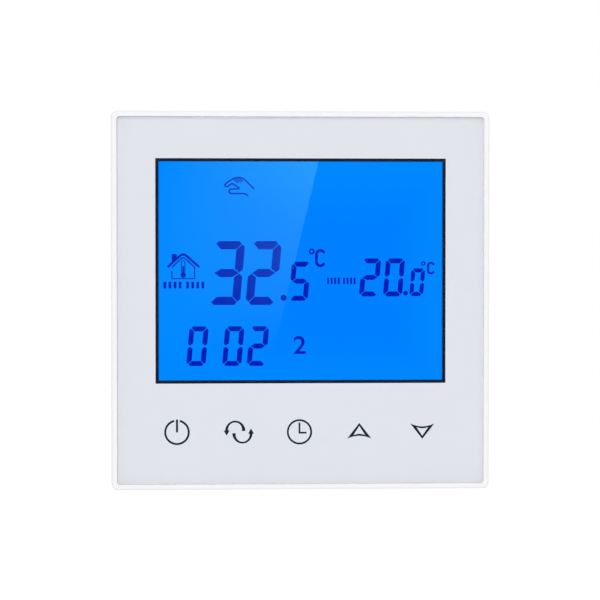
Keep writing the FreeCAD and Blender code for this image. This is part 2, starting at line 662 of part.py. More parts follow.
def panel_screw(at):
    """Screw with a flat round head on the cover's back and its tip in a boss."""
    shank = rod(PANEL_SCREW_RADIUS, (COVER_BACK_Y - PANEL_SCREW_LENGTH, COVER_BACK_Y + SINK), at)
    head_y = (COVER_BACK_Y, COVER_BACK_Y + PANEL_SCREW_HEAD)
    head = rod(PANEL_SCREW_HEAD_RADIUS, head_y, at)
    head = head.makeFillet(PANEL_SCREW_HEAD / 3, edges_at(head, head_y[1]))
    screw = shank.fuse(head)
    length, width, depth = PANEL_SCREW_CROSS
    cross_y = (head_y[1] - depth, head_y[1] + PAST)
    for size in ((length, width), (width, length)):
        screw = screw.cut(centred_block(size[0], cross_y, size[1], at))
    return screw.removeSplitter()


def panel_screws():
    return Part.makeCompound([panel_screw(at) for at in four_corners(BOSS_AT, BOSS_AT)])


# ---- Base: plate and power box ----
def flange_screw_places():
    return four_corners(FLANGE_SCREW_X, BOX_SIDE / 2 + FLANGE_END_LAP / 2 + BOX_PLAY)


def lid_screw_places():
    x = BOX_INNER_HALF - LID_SCREW_INSET
    return [(sx * x, z) for sx in (-1, 1) for z in (POST_LOW_Z, x)]


def mounting_plate():
    y = (PLATE_FRONT_Y, 0)
    through = past(y)
    plate = rounded_prism(PLATE_SIDE, PLATE_SIDE, PLATE_CORNER, y)
    window = BOX_SIDE + 2 * BOX_PLAY
    plate = plate.cut(rounded_prism(window, window, BOX_CORNER, through))
    for side in (-1, 1):
        plate = plate.cut(slot_prism(SLOT_LENGTH, SLOT_WIDTH, through, (side * SLOT_SPACING / 2, 0)))
    for at in finger_places():
        width = FINGER_WIDTH + 2 * FINGER_PLAY
        height = FINGER_THICKNESS + 2 * (FINGER_BEAD + FINGER_PLAY)
        plate = plate.cut(centred_block(width, through, height, at))
    for at in flange_screw_places():
        plate = plate.cut(rod(FLANGE_SCREW_RADIUS + THREAD_GAP, through, at))
    return plate


def flange_screws():
    y = (FLANGE_FRONT_Y, -THREAD_GAP)
    sizes = (FLANGE_SCREW_HEAD_RADIUS, FLANGE_SCREW_HEAD, FLANGE_SCREW_RADIUS)
    return Part.makeCompound([countersunk_screw(*sizes, y, at) for at in flange_screw_places()])


def countersink(head_radius, head, radius, y, at):
    """Hole for a flat-headed screw: a cone at y[0] and a straight bore to y[1], a little larger all round."""
    play = SCREW_HOLE_PLAY
    bore = rod(radius + play, past(y), at)
    mouth = rod(head_radius + play, (y[0] - PAST, y[0]), at)
    return bore.fuse([mouth, cone(head_radius + play, radius + play, (y[0], y[0] + head), at)])


def box_outer():
    """The box behind the plate, with a step at its lower rear for the wire terminals."""
    outer = rounded_prism(BOX_SIDE, BOX_SIDE, BOX_CORNER, (PLATE_FRONT_Y - SINK, BOX_DEPTH))
    half = BOX_SIDE / 2 + PAST
    return outer.cut(block((-half, half), (POWER_BOARD_BACK_Y, BOX_DEPTH + PAST), (-half, PARTITION_Z)))


def box_cavity():
    inner = (-BOX_INNER_HALF, BOX_INNER_HALF)
    upper = block(inner, (FLANGE_FRONT_Y - PAST, BOX_INNER_BACK_Y), (PARTITION_TOP_Z, BOX_INNER_HALF))
    lower_y = past((FLANGE_FRONT_Y, POWER_BOARD_BACK_Y))
    lower = block(inner, lower_y, (-BOX_INNER_HALF, PARTITION_TOP_Z))
    step = block(inner, (POWER_BOARD_BACK_Y, BOX_DEPTH), (PARTITION_Z, PARTITION_TOP_Z))
    return upper.fuse(lower.cut(step))


def power_box():
    flange_width = BOX_SIDE + 2 * (BOX_PLAY + FLANGE_SIDE_LAP)
    flange_height = BOX_SIDE + 2 * (BOX_PLAY + FLANGE_END_LAP)
    flange_y = (FLANGE_FRONT_Y, PLATE_FRONT_Y)
    box = box_outer().fuse(rounded_prism(flange_width, flange_height, BOX_CORNER, flange_y))
    box = box.cut(box_cavity())
    for at in lid_screw_places():
        box = box.fuse(rod(LID_POST_RADIUS, (POWER_BOARD_BACK_Y, BOX_INNER_BACK_Y + SINK), at))
        bite = past((POWER_BOARD_BACK_Y, POWER_BOARD_BACK_Y + LID_SCREW_BITE))
        box = box.cut(rod(LID_SCREW_RADIUS + THREAD_GAP, bite, at))
    sizes = (FLANGE_SCREW_HEAD_RADIUS, FLANGE_SCREW_HEAD, FLANGE_SCREW_RADIUS)
    for at in flange_screw_places():
        box = box.cut(countersink(*sizes, flange_y, at))
    vent_end = BOX_INNER_BACK_Y - BOX_VENT_INSET
    vent_y = (vent_end - BOX_VENT_LENGTH, vent_end)
    for x in spread(BOX_VENT_COUNT, BOX_VENT_PITCH):
        vent_x = (x - BOX_VENT_WIDTH / 2, x + BOX_VENT_WIDTH / 2)
        box = box.cut(block(vent_x, vent_y, (RELAY_TOP_Z, BOX_SIDE)))
    return box.removeSplitter()


def power_box_lid():
    side = 2 * (BOX_INNER_HALF - PIECE_FIT)
    y = (FLANGE_FRONT_Y, FLANGE_FRONT_Y + LID_THICKNESS)
    lid = centred_block(side, y, side)
    socket = socket_outline(PIECE_FIT)
    lid = lid.cut(centred_block(socket[0], past(y), socket[1], (0, PLUG_Z)))
    sizes = (LID_SCREW_HEAD_RADIUS, LID_SCREW_HEAD, LID_SCREW_RADIUS)
    for at in lid_screw_places():
        lid = lid.fuse(rod(LID_POST_RADIUS, (y[1] - SINK, POWER_BOARD_Y), at))
        lid = lid.cut(countersink(*sizes, (y[0], POWER_BOARD_Y), at))
    return lid.removeSplitter()


def lid_screws():
    y = (FLANGE_FRONT_Y, POWER_BOARD_BACK_Y + LID_SCREW_BITE)
    sizes = (LID_SCREW_HEAD_RADIUS, LID_SCREW_HEAD, LID_SCREW_RADIUS)
    return Part.makeCompound([countersunk_screw(*sizes, y, at) for at in lid_screw_places()])


def power_board():
    side = 2 * (BOX_INNER_HALF - POWER_BOARD_FIT)
    y = (POWER_BOARD_Y, POWER_BOARD_BACK_Y)
    board = centred_block(side, y, side)
    for at in lid_screw_places():
        board = board.cut(rod(LID_SCREW_RADIUS + SCREW_HOLE_PLAY, past(y), at))
    return board


# ---- Base: socket for the panel's plug ----
def socket_outline(play=0.0):
    width = PIN_COLUMNS * PIN_PITCH + 2 * (SOCKET_SIDE_MARGIN + play)
    height = PIN_ROWS * PIN_PITCH + 2 * (SOCKET_END_MARGIN + play)
    return width, height


def socket_contact(at):
    """Flat spring strip along the outer side of one pin, with its foot on the board."""
    side = 1 if at[1] > PLUG_Z else -1
    near = at[1] + side * (PIN_SIDE / 2 + SOCKET_CONTACT_GAP)
    z = sorted((near, near + side * SOCKET_CONTACT_THICKNESS))
    x = (at[0] - PIN_SIDE / 2, at[0] + PIN_SIDE / 2)
    return block(x, (SOCKET_FRONT_Y + SOCKET_CONTACT_INSET, POWER_BOARD_Y), z)


def socket_contacts():
    return Part.makeCompound([socket_contact(at) for at in pin_places()])


def socket_body():
    width, height = socket_outline()
    y = (SOCKET_FRONT_Y, POWER_BOARD_Y)
    body = centred_block(width, y, height, (0, PLUG_Z))
    hole = PIN_SIDE + 2 * PIN_CLEARANCE
    for at in pin_places():
        body = body.cut(centred_block(hole, (y[0] - PAST, y[1] - SOCKET_FLOOR), hole, at))
    return body.cut(socket_contacts())


# ---- Base: wire terminals ----
def terminal_places():
    return [(x, TERMINAL_Z) for x in spread(TERMINAL_COUNT, TERMINAL_PITCH)]


def terminal_block():
    """Housing with a well for each cage, a wire mouth below and a driver hole behind each screw."""
    y = (POWER_BOARD_BACK_Y, BLOCK_BACK_Y)
    body = block((-BLOCK_WIDTH / 2, BLOCK_WIDTH / 2), y, (BLOCK_BOTTOM_Z, BLOCK_TOP_Z))
    well_width = CAGE_OUTER_WIDTH + 2 * CAGE_PLAY
    well_y = (CAGE_LOW_Y - CAGE_PLAY, CLAMP_HEAD_LOW_Y)
    for at in terminal_places():
        body = body.cut(centred_block(well_width, well_y, CAGE_DEPTH + 2 * CAGE_PLAY, at))
        head_y = (CLAMP_HEAD_LOW_Y - SINK, CLAMP_HEAD_TOP_Y + HEAD_PLAY)
        body = body.cut(rod(CLAMP_HEAD_RADIUS + HEAD_PLAY, head_y, at))
        body = body.cut(rod(CLAMP_ACCESS_RADIUS, (CLAMP_HEAD_TOP_Y, BLOCK_BACK_Y + PAST), at))
        half = well_width / 2 - MOUTH_INSET
        mouth_y = (CAGE_LOW_Y + CAGE_WALL - MOUTH_STEP, CONTACT_FRONT_Y)
        mouth_z = (BLOCK_BOTTOM_Z - PAST, at[1])
        body = body.cut(block((at[0] - half, at[0] + half), mouth_y, mouth_z))
    return body.cut(terminal_contacts()).removeSplitter()


def terminal_contact(at):
    """Strip through the cage above the wire, with a tail down the block's rear side to the board."""
    half = CAGE_OUTER_WIDTH / 2 - CAGE_WALL - CONTACT_PLAY
    x = (at[0] - half, at[0] + half)
    tail_z = at[1] + CAGE_DEPTH / 2 + CAGE_PLAY + CONTACT_TAIL_WALL
    strip = block(x, (CONTACT_FRONT_Y, CONTACT_BACK_Y), (at[1] - CAGE_DEPTH / 2, tail_z + CONTACT_TAIL))
    tail = block(x, (POWER_BOARD_BACK_Y, CONTACT_BACK_Y), (tail_z, tail_z + CONTACT_TAIL))
    return strip.fuse(tail).removeSplitter()


def terminal_contacts():
    return Part.makeCompound([terminal_contact(at) for at in terminal_places()])


def terminal_cage(at):
    """Square loop that the screw lifts; the wire lies between its floor and the contact strip."""
    cage = centred_block(CAGE_OUTER_WIDTH, (CAGE_LOW_Y, CAGE_TOP_Y), CAGE_DEPTH, at)
    inner_width = CAGE_OUTER_WIDTH - 2 * CAGE_WALL
    inner_y = (CAGE_LOW_Y + CAGE_WALL, CAGE_TOP_Y - CAGE_WALL)
    cage = cage.cut(centred_block(inner_width, inner_y, CAGE_DEPTH + 2 * PAST, at))
    thread_y = past((CAGE_TOP_Y - CAGE_WALL, CAGE_TOP_Y))
    return cage.cut(rod(CLAMP_SCREW_RADIUS + THREAD_GAP, thread_y, at))


def terminal_screw(at):
    """Captive screw with its slotted head towards the back of the box."""
    shank = rod(CLAMP_SCREW_RADIUS, (CONTACT_BACK_Y + THREAD_GAP, CLAMP_HEAD_LOW_Y + SINK), at)
    head = rod(CLAMP_HEAD_RADIUS, (CLAMP_HEAD_LOW_Y, CLAMP_HEAD_TOP_Y), at)
    width, depth = DRIVER_SLOT
    slot_y = (CLAMP_HEAD_TOP_Y - depth, CLAMP_HEAD_TOP_Y + PAST)
    slot = centred_block(2 * (CLAMP_HEAD_RADIUS + PAST), slot_y, width, at)
    return shank.fuse(head).cut(slot).removeSplitter()


# ---- Base: relay ----
def relay_cover():
    x = (RELAY_LEFT, RELAY_LEFT + RELAY_LENGTH)
    z = (RELAY_Z - RELAY_WIDTH / 2, RELAY_Z + RELAY_WIDTH / 2)
    outer = block(x, (POWER_BOARD_BACK_Y, RELAY_BACK_Y), z)
    inner_x = (x[0] + RELAY_WALL, x[1] - RELAY_WALL)
    inner_z = (z[0] + RELAY_WALL, z[1] - RELAY_WALL)
    return outer.cut(block(inner_x, (POWER_BOARD_BACK_Y - PAST, RELAY_BACK_Y - RELAY_WALL), inner_z))


def relay_base():
    margin = RELAY_WALL + SHEET_GAP
    x = (RELAY_LEFT + margin, RELAY_LEFT + RELAY_LENGTH - margin)
    z = (RELAY_Z - RELAY_WIDTH / 2 + margin, RELAY_Z + RELAY_WIDTH / 2 - margin)
    return block(x, (POWER_BOARD_BACK_Y, RELAY_FLOOR_Y), z)


def rod_along_x(radius, x):
    return Part.makeCylinder(radius, x[1] - x[0], V(x[0], COIL_Y, RELAY_Z), V(1, 0, 0))


def relay_coil():
    """Bobbin with its winding and iron core; the core's right end is the pole face."""
    right = COIL_LEFT + COIL_LENGTH
    pieces = [rod_along_x(COIL_RADIUS, (right - COIL_FLANGE, right))]
    pieces.append(rod_along_x(WINDING_RADIUS, (COIL_LEFT, right)))
    pieces.append(rod_along_x(CORE_RADIUS, (COIL_LEFT, POLE_X)))
    return rod_along_x(COIL_RADIUS, (COIL_LEFT, COIL_LEFT + COIL_FLANGE)).fuse(pieces).removeSplitter()


def relay_yoke():
    """Iron bracket behind the coil and over it, to the armature's edge, standing on the relay's base."""
    z = (RELAY_Z - YOKE_WIDTH / 2, RELAY_Z + YOKE_WIDTH / 2)
    leg = block((YOKE_LEFT, COIL_LEFT), (RELAY_FLOOR_Y, YOKE_BACK_Y), z)
    arm = block((YOKE_LEFT, ARMATURE_X - ARMATURE_PIVOT_GAP), (YOKE_FRONT_Y, YOKE_BACK_Y), z)
    return leg.fuse(arm).removeSplitter()


def contact_button(x, direction):
    start = V(x, RELAY_FLOOR_Y + BUTTON_LIFT, RELAY_Z)
    return Part.makeCylinder(BUTTON_RADIUS, BUTTON_HEIGHT, start, V(direction, 0, 0))


def moving_button_span():
    """The x range of the moving contact's two buttons with the blade between them."""
    blade = ARMATURE_X + ARMATURE_THICKNESS
    return blade - BUTTON_HEIGHT, blade + BLADE_THICKNESS + BUTTON_HEIGHT


def relay_armature():
    """Iron flap pivoted at the yoke's edge, with the moving contact's blade behind it."""
    plate_y = (RELAY_FLOOR_Y + ARMATURE_LIFT, YOKE_BACK_Y)
    half = YOKE_WIDTH / 2 - ARMATURE_INSET
    right = ARMATURE_X + ARMATURE_THICKNESS
    plate = block((ARMATURE_X, right), plate_y, (RELAY_Z - half, RELAY_Z + half))
    blade_z = (RELAY_Z - BLADE_WIDTH / 2, RELAY_Z + BLADE_WIDTH / 2)
    blade_y = (RELAY_FLOOR_Y + BLADE_LIFT, YOKE_BACK_Y)
    blade = block((right, right + BLADE_THICKNESS), blade_y, blade_z)
    buttons = [contact_button(right, -1), contact_button(right + BLADE_THICKNESS, 1)]
    return plate.fuse([blade] + buttons).removeSplitter()


def relay_contacts():
    """Two fixed contact blades on the base: one to the left that the armature closes, one to its right."""
    reach = YOKE_BACK_Y - RELAY_FLOOR_Y - BUTTON_LIFT + BUTTON_RADIUS
    swing = reach * math.tan(math.radians(ARMATURE_TRAVEL))
    low, high = moving_button_span()
    z = (RELAY_Z - BLADE_WIDTH / 2, RELAY_Z + BLADE_WIDTH / 2)
    y = (RELAY_FLOOR_Y, RELAY_FLOOR_Y + FIXED_BLADE_LENGTH)
    left_edge = low - swing - BUTTON_CLOSED_GAP - BUTTON_HEIGHT
    left = block((left_edge - FIXED_BLADE_THICKNESS, left_edge), y, z).fuse(contact_button(left_edge, 1))
    right_edge = high + BUTTON_OPEN_GAP + BUTTON_HEIGHT
    right = block((right_edge, right_edge + FIXED_BLADE_THICKNESS), y, z)
    right = right.fuse(contact_button(right_edge, -1))
    return Part.makeCompound([left.removeSplitter(), right.removeSplitter()])


# ---- Base: other parts of the supply ----
def transformer_span():
    """Front and back of the transformer's core."""
    front = POWER_BOARD_BACK_Y + TRANSFORMER_STAND
    return front, front + TRANSFORMER_SIZE[1]


def transformer_core():
    """Two E shapes face to face, seen as one frame with a middle limb."""
    width, depth, height = TRANSFORMER_SIZE
    y = transformer_span()
    core = centred_block(width, y, height / 2, TRANSFORMER_AT)
    window_width = (width - 3 * TRANSFORMER_LIMB) / 2
    for side in (-1, 1):
        at = (TRANSFORMER_AT[0] + side * (TRANSFORMER_LIMB + window_width) / 2, TRANSFORMER_AT[1])
        window_y = (y[0] + TRANSFORMER_LIMB, y[1] - TRANSFORMER_LIMB)
        core = core.cut(centred_block(window_width, window_y, height, at))
    return core


def transformer_coil():
    """Bobbin and winding round the core's middle limb, with a foot at each end on the board."""
    width, _, height = TRANSFORMER_SIZE
    front, back = transformer_span()
    inset = TRANSFORMER_LIMB + COIL_FORM_PLAY
    coil_width = width - 2 * inset
    coil = centred_block(coil_width, (front + inset, back - inset), height, TRANSFORMER_AT)
    for side in (-1, 1):
        foot_at = (TRANSFORMER_AT[0], TRANSFORMER_AT[1] + side * (height - TRANSFORMER_FOOT) / 2)
        foot_y = (POWER_BOARD_BACK_Y, back - inset)
        coil = coil.fuse(centred_block(coil_width, foot_y, TRANSFORMER_FOOT, foot_at))
    return coil.cut(transformer_core()).removeSplitter()


def smoothing_capacitors():
    cans = []
    for radius, height, x, z in CAPACITORS:
        y = (POWER_BOARD_BACK_Y, POWER_BOARD_BACK_Y + height)
        can = rod(radius, y, (x, z))
        can = can.makeFillet(CAPACITOR_ROUND, edges_at(can, y[1]))
        cans.append(can)
    return Part.makeCompound(cans)


def film_capacitor():
    width, depth, height = FILM_CAPACITOR_SIZE
    y = (POWER_BOARD_BACK_Y, POWER_BOARD_BACK_Y + depth)
    return centred_block(width, y, height, FILM_CAPACITOR_AT)


def with_legs(body, places):
    """Adds straight wire legs from the board up into a body."""
    for x, z in places:
        leg_y = (POWER_BOARD_BACK_Y, POWER_BOARD_BACK_Y + LEG_LENGTH + FUSE_RADIUS)
        body = body.fuse(rod(LEG_RADIUS, leg_y, (x, z)))
    return body.removeSplitter()


def varistor():
    x, z = VARISTOR_AT
    middle = V(x - VARISTOR_THICKNESS / 2, POWER_BOARD_BACK_Y + LEG_LENGTH + VARISTOR_RADIUS, z)
    disc = Part.makeCylinder(VARISTOR_RADIUS, VARISTOR_THICKNESS, middle, V(1, 0, 0))
    return with_legs(disc, [(x, z + side * VARISTOR_LEG_SPREAD) for side in (-1, 1)])


def fuse():
    x, z = FUSE_AT
    start = V(x, POWER_BOARD_BACK_Y + LEG_LENGTH + FUSE_RADIUS, z - FUSE_LENGTH / 2)
    tube = Part.makeCylinder(FUSE_RADIUS, FUSE_LENGTH, start, V(0, 0, 1))
    reach = FUSE_LENGTH / 2 - FUSE_LEG_INSET
    return with_legs(tube, [(x, z + side * reach) for side in (-1, 1)])


# ---- Writing the pieces ----
PIECES = [
    front_glass, glass_tape, panel_frame, lcd_glass, lcd_holder, light_guide, reflector_sheet,
    backlight_leds, lcd_connector_strip, control_board, touch_springs, control_chip, touch_chip,
    clock_cell, cell_clip, air_sensor, pin_header_body, header_pins, panel_back_cover, panel_screws,
    mounting_plate, power_box, flange_screws, power_box_lid, lid_screws, power_board, socket_body,
    socket_contacts, terminal_block, terminal_contacts, relay_cover, relay_base, relay_coil, relay_yoke,
    relay_armature, relay_contacts, transformer_core, transformer_coil, smoothing_capacitors,
    film_capacitor, varistor, fuse,
]


def write(name, shape):
    shape.exportStep(f"parts/{name}.step")
    print(f"{name}: {len(shape.Solids)} solids, {shape.Volume:.1f} mm3, valid {shape.isValid()}")


os.makedirs("parts", exist_ok=True)
for piece in PIECES:
    write(piece.__name__, piece())
for number, place in enumerate(terminal_places(), start=1):
    write(f"terminal_screw_{number}", terminal_screw(place))
    write(f"terminal_cage_{number}", terminal_cage(place))
print(f"armature pivot: x {ARMATURE_X:.3f}, y {YOKE_BACK_Y:.3f}")
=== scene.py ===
# %% [markdown]
# # A wall thermostat with a glass touch front
# The object is a room thermostat that stands over a wall box. A white casing holds a square of toughened
# glass, printed white on its back, with a clear window over a lit display and five touch marks below it.
# The frame already holds every solid piece at its real size. What it lacks is what is printed or shown:
# the white print, the marks, the digits, and the finish of every surface. Those are made here.

# %% Load the frame
import json
import math
import bmesh
import bpy
from mathutils import Matrix, Vector


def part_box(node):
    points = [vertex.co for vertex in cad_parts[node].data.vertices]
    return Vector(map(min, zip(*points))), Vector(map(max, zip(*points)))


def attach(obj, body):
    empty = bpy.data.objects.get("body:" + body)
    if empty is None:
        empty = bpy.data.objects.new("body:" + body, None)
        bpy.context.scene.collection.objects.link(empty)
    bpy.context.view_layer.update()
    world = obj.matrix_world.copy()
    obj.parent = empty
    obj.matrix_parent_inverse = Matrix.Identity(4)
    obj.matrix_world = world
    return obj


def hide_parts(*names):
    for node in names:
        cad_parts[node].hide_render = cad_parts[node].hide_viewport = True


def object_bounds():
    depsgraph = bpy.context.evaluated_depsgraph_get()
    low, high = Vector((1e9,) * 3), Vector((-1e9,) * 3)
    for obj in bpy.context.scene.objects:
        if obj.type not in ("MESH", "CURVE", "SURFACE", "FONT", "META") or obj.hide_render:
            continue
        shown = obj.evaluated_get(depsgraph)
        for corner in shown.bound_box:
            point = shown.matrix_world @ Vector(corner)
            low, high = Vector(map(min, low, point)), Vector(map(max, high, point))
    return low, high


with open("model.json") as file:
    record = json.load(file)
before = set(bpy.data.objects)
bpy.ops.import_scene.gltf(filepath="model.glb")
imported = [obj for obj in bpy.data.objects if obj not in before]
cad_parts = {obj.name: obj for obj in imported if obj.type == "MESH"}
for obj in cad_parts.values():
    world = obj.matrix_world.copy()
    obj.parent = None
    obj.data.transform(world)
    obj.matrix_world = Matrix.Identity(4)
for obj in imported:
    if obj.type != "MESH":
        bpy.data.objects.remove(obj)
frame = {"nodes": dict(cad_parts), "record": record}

CAD_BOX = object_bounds()
NODES = frame["nodes"]
MM = 0.001
scene = bpy.context.scene
scene.view_settings.view_transform = "Standard"

# %% [markdown]
# ## Camera, light and surroundings
# The thermostat is seen almost square on, from a little to the left and a little above, with a long lens.
# A long lens at half a metre keeps the front nearly square. Turning the object would show the same side of
# it, but the object stays where the wall box puts it, and the camera moves instead.

# %% Camera
FRONT_Y = CAD_BOX[0][1]
LOOK_AT = Vector((-0.27 * MM, FRONT_Y, 0.17 * MM))
CAMERA_LEFT = math.radians(2.88)
CAMERA_UP = math.radians(1.49)
CAMERA_DISTANCE = 0.5
CAMERA_LENS = 133.1
towards = Vector((-math.sin(CAMERA_LEFT), -math.cos(CAMERA_LEFT), math.tan(CAMERA_UP))).normalized()
camera = bpy.data.objects.new("camera", bpy.data.cameras.new("camera"))
camera.data.lens = CAMERA_LENS
camera.location = LOOK_AT + towards * CAMERA_DISTANCE
camera.rotation_euler = (-towards).to_track_quat("-Z", "Y").to_euler()
scene.collection.objects.link(camera)
scene.camera = camera
print(f"camera at {tuple(round(v, 4) for v in camera.location)}, lens {CAMERA_LENS} mm")

# %% [markdown]
# Materials, the world and the floor are all made of nodes. Writing each node, its values and its links on
# lines of their own takes long, so one helper does all three. A second turns a hex value, as a paint chart
# gives it, to the linear colour that Blender works in.


# %% Two small helpers for nodes and colours
def add(tree, kind, settings=(), links=()):
    """Adds a node, fills its properties or inputs from settings and joins its inputs to other outputs."""
    node = tree.nodes.new(kind)
    for key, value in dict(settings).items():
        if isinstance(key, str) and hasattr(node, key):
            setattr(node, key, value)
        else:
            node.inputs[key].default_value = value
    for key, source in dict(links).items():
        tree.links.new(source, node.inputs[key])
    return node


def colour(hex_code, light=1.0):
    """Linear colour of an sRGB hex value, times a factor and at most full."""
    parts = [int(hex_code[start:start + 2], 16) / 255 for start in (1, 3, 5)]
    linear = [c / 12.92 if c <= 0.04045 else ((c + 0.055) / 1.055) ** 2.4 for c in parts]
    return (*[min(1.0, c * light) for c in linear], 1.0)


# %% [markdown]
# The studio is a white tent. A world colour does this more evenly than many lamps could. What the camera
# and mirror-like surfaces see of it is full white; what lights the object is dimmer, so pale plastic
# keeps its own colour. Light Path tells the two apart.

# %% White surroundings
AMBIENT = 0.62
world = bpy.data.worlds.new("white tent")
world.use_nodes = True
scene.world = world
sky = world.node_tree
sky.nodes.clear()
path = add(sky, "ShaderNodeLightPath")
seen = add(sky, "ShaderNodeMath", {"operation": "MAXIMUM"},
           {0: path.outputs["Is Camera Ray"], 1: path.outputs["Is Glossy Ray"]})
seen = add(sky, "ShaderNodeMath", {"operation": "MAXIMUM"},
           {0: seen.outputs[0], 1: path.outputs["Is Transmission Ray"]})
lighting = add(sky, "ShaderNodeBackground", {"Color": colour("#FFFFFF"), "Strength": AMBIENT})
backdrop = add(sky, "ShaderNodeBackground", {"Color": colour("#FFFFFF"), "Strength": 1.0})
mixed = add(sky, "ShaderNodeMixShader",
            links={0: seen.outputs[0], 1: lighting.outputs[0], 2: backdrop.outputs[0]})
add(sky, "ShaderNodeOutputWorld", links={"Surface": mixed.outputs[0]})
print(f"world lights at {AMBIENT}, and is seen at 1")

# %% [markdown]
# Two soft lamps give the shapes their shading. The key lamp stands far off and almost in front, because a
# lamp from the side would throw the rim's shadow through the glass onto the print. The back lamp lights
# the parts that face the wall. Neither shows in the glass, which mirrors only the cards made further on.


# %% Soft lamps
def soft_lamp(name, place, size, power):
    """Square lamp that faces the object's middle."""
    lamp = bpy.data.objects.new(name, bpy.data.lights.new(name, "AREA"))
    lamp.data.size = size
    lamp.data.energy = power
    lamp.location = Vector(place)
    lamp.rotation_euler = (-lamp.location).to_track_quat("-Z", "Y").to_euler()
    scene.collection.objects.link(lamp)
    lamp.visible_glossy = False
    return lamp


key_lamp = soft_lamp("key_lamp", place=(-0.2, -2.3, 0.62), size=0.7, power=21.0)
back_lamp = soft_lamp("back_lamp", place=(1.2, 1.8, 1.3), size=1.2, power=20.0)
print(f"key lamp {key_lamp.location.length:.2f} m off, back lamp {back_lamp.location.length:.2f} m off")

# %% [markdown]
# A pale floor lies well below the object, as a table under a studio tent would. Its shader adds white
# for what the camera sees, so it melts into the tent, but part of it is still lit and keeps the shadow.
# From below it is open, as a glass table would be, so that the underside can be looked at too.

# %% Floor
FLOOR_DROP = 0.11
FLOOR_HALF = 1.5
FLOOR_GLOW = 1.2
FLOOR_GLOW_SHARE = 0.62  # share of the added white in what the camera sees of the floor
FIBRE_SIZE = 2 * MM
floor_mesh = bpy.data.meshes.new("floor")
shape = bmesh.new()
bmesh.ops.create_grid(shape, x_segments=1, y_segments=1, size=FLOOR_HALF)
bmesh.ops.translate(shape, verts=shape.verts, vec=(0, 0, CAD_BOX[0][2] - FLOOR_DROP))
shape.to_mesh(floor_mesh)
shape.free()
floor = bpy.data.objects.new("floor", floor_mesh)
scene.collection.objects.link(floor)
paper = bpy.data.materials.new("white studio paper")
paper.use_nodes = True
tree = paper.node_tree
tree.nodes.clear()
path = add(tree, "ShaderNodeLightPath")
lit = add(tree, "ShaderNodeBsdfDiffuse", {"Color": colour("#F2F2F2")})
white = add(tree, "ShaderNodeEmission", {"Color": colour("#FFFFFF"), "Strength": FLOOR_GLOW})
fibres = add(tree, "ShaderNodeTexNoise", {"Scale": 1 / FIBRE_SIZE, "Detail": 3.0},
             {"Vector": add(tree, "ShaderNodeTexCoord").outputs["Object"]})
tree.links.new(add(tree, "ShaderNodeBump", {"Strength": 0.1, "Distance": 0.05 * MM},
                   {"Height": fibres.outputs[0]}).outputs[0], lit.inputs["Normal"])
share = add(tree, "ShaderNodeMath", {"operation": "MULTIPLY", 1: FLOOR_GLOW_SHARE},
            {0: path.outputs["Is Camera Ray"]})
both = add(tree, "ShaderNodeMixShader", links={0: share.outputs[0], 1: lit.outputs[0], 2: white.outputs[0]})
below = add(tree, "ShaderNodeMath", {"operation": "MULTIPLY"}, {
    0: path.outputs["Is Camera Ray"], 1: add(tree, "ShaderNodeNewGeometry").outputs["Backfacing"]})
open_below = add(tree, "ShaderNodeMixShader", links={
    0: below.outputs[0], 1: both.outputs[0], 2: add(tree, "ShaderNodeBsdfTransparent").outputs[0]})
add(tree, "ShaderNodeOutputMaterial", links={"Surface": open_below.outputs[0]})
floor_mesh.materials.append(paper)
print(f"floor {FLOOR_DROP} m below the casing")

# %% [markdown]
# A sheet of polished glass mirrors whatever stands in front of it. A black cloth hangs behind the camera, so
# that the glass shows its display and not the white tent, and one pale window shows as a slanting glare
# over the left of the display. Both are real cards, not paint on the glass: they are hidden from the
# camera, from diffuse light and from shadow rays, and only mirror-like surfaces meet them.


# %% Cards that the glass mirrors
def card(name, corners, y, material):
    """Flat stage piece that only mirrors can see, from its corners in X and Z."""
    mesh = bpy.data.meshes.new(name)
    shape = bmesh.new()
    shape.faces.new([shape.verts.new((x, y, z)) for x, z in corners])
    shape.to_mesh(mesh)
    shape.free()
    mesh.materials.append(material)
    piece = bpy.data.objects.new(name, mesh)
    scene.collection.objects.link(piece)
    for kind in ("camera", "diffuse", "transmission", "shadow", "volume_scatter"):
        setattr(piece, f"visible_{kind}", False)
    return piece


black_cloth = bpy.data.materials.new("black studio cloth")
black_cloth.use_nodes = True
black_cloth.node_tree.nodes.clear()
add(black_cloth.node_tree, "ShaderNodeOutputMaterial", links={"Surface": add(
    black_cloth.node_tree, "ShaderNodeEmission", {"Color": colour("#030405"), "Strength": 1.0}).outputs[0]})
CLOTH_HALF = 0.17
CLOTH_BEHIND = 0.05  # from the camera back to the cloth
SQUARE = ((-1, -1), (1, -1), (1, 1), (-1, 1))  # corners of a square, in order round it
cloth_corners = [(side * CLOTH_HALF, level * CLOTH_HALF) for side, level in SQUARE]
card("black_cloth", cloth_corners, camera.location.y - CLOTH_BEHIND, black_cloth)
print(f"black cloth {2 * CLOTH_HALF} m square behind the camera")

# %% [markdown]
# The window card's edges are worked out by the rule of the mirror: the line from the camera to a point on
# the glass goes on from there, as if the card lay behind the glass. So a place on the glass, times the
# ratio of the distances and less the camera's share, gives the place on the card.

# %% Window card for the glare
GLASS_LOW, GLASS_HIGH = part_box("front_glass")
VIEW_HALF_X = 32.1 * MM  # half of the display that shows between the black holder's edges
VIEW_HALF_Z = 24.7 * MM
VIEW_Z = 6.7 * MM  # middle of the display above the middle of the glass
GLARE_LEAN = 0.2376  # the glare's right edge leans this far right for each unit of height
GLARE_EDGE_X = -1.9 * MM  # where that edge crosses the display's middle height
GLARE_LOW_Z = -18.5 * MM  # where it has faded out, below the display's middle
GLARE_STRENGTH = 2.1  # of the card at its upper right corner
CARD_DISTANCE = 0.3  # from the glass to the card


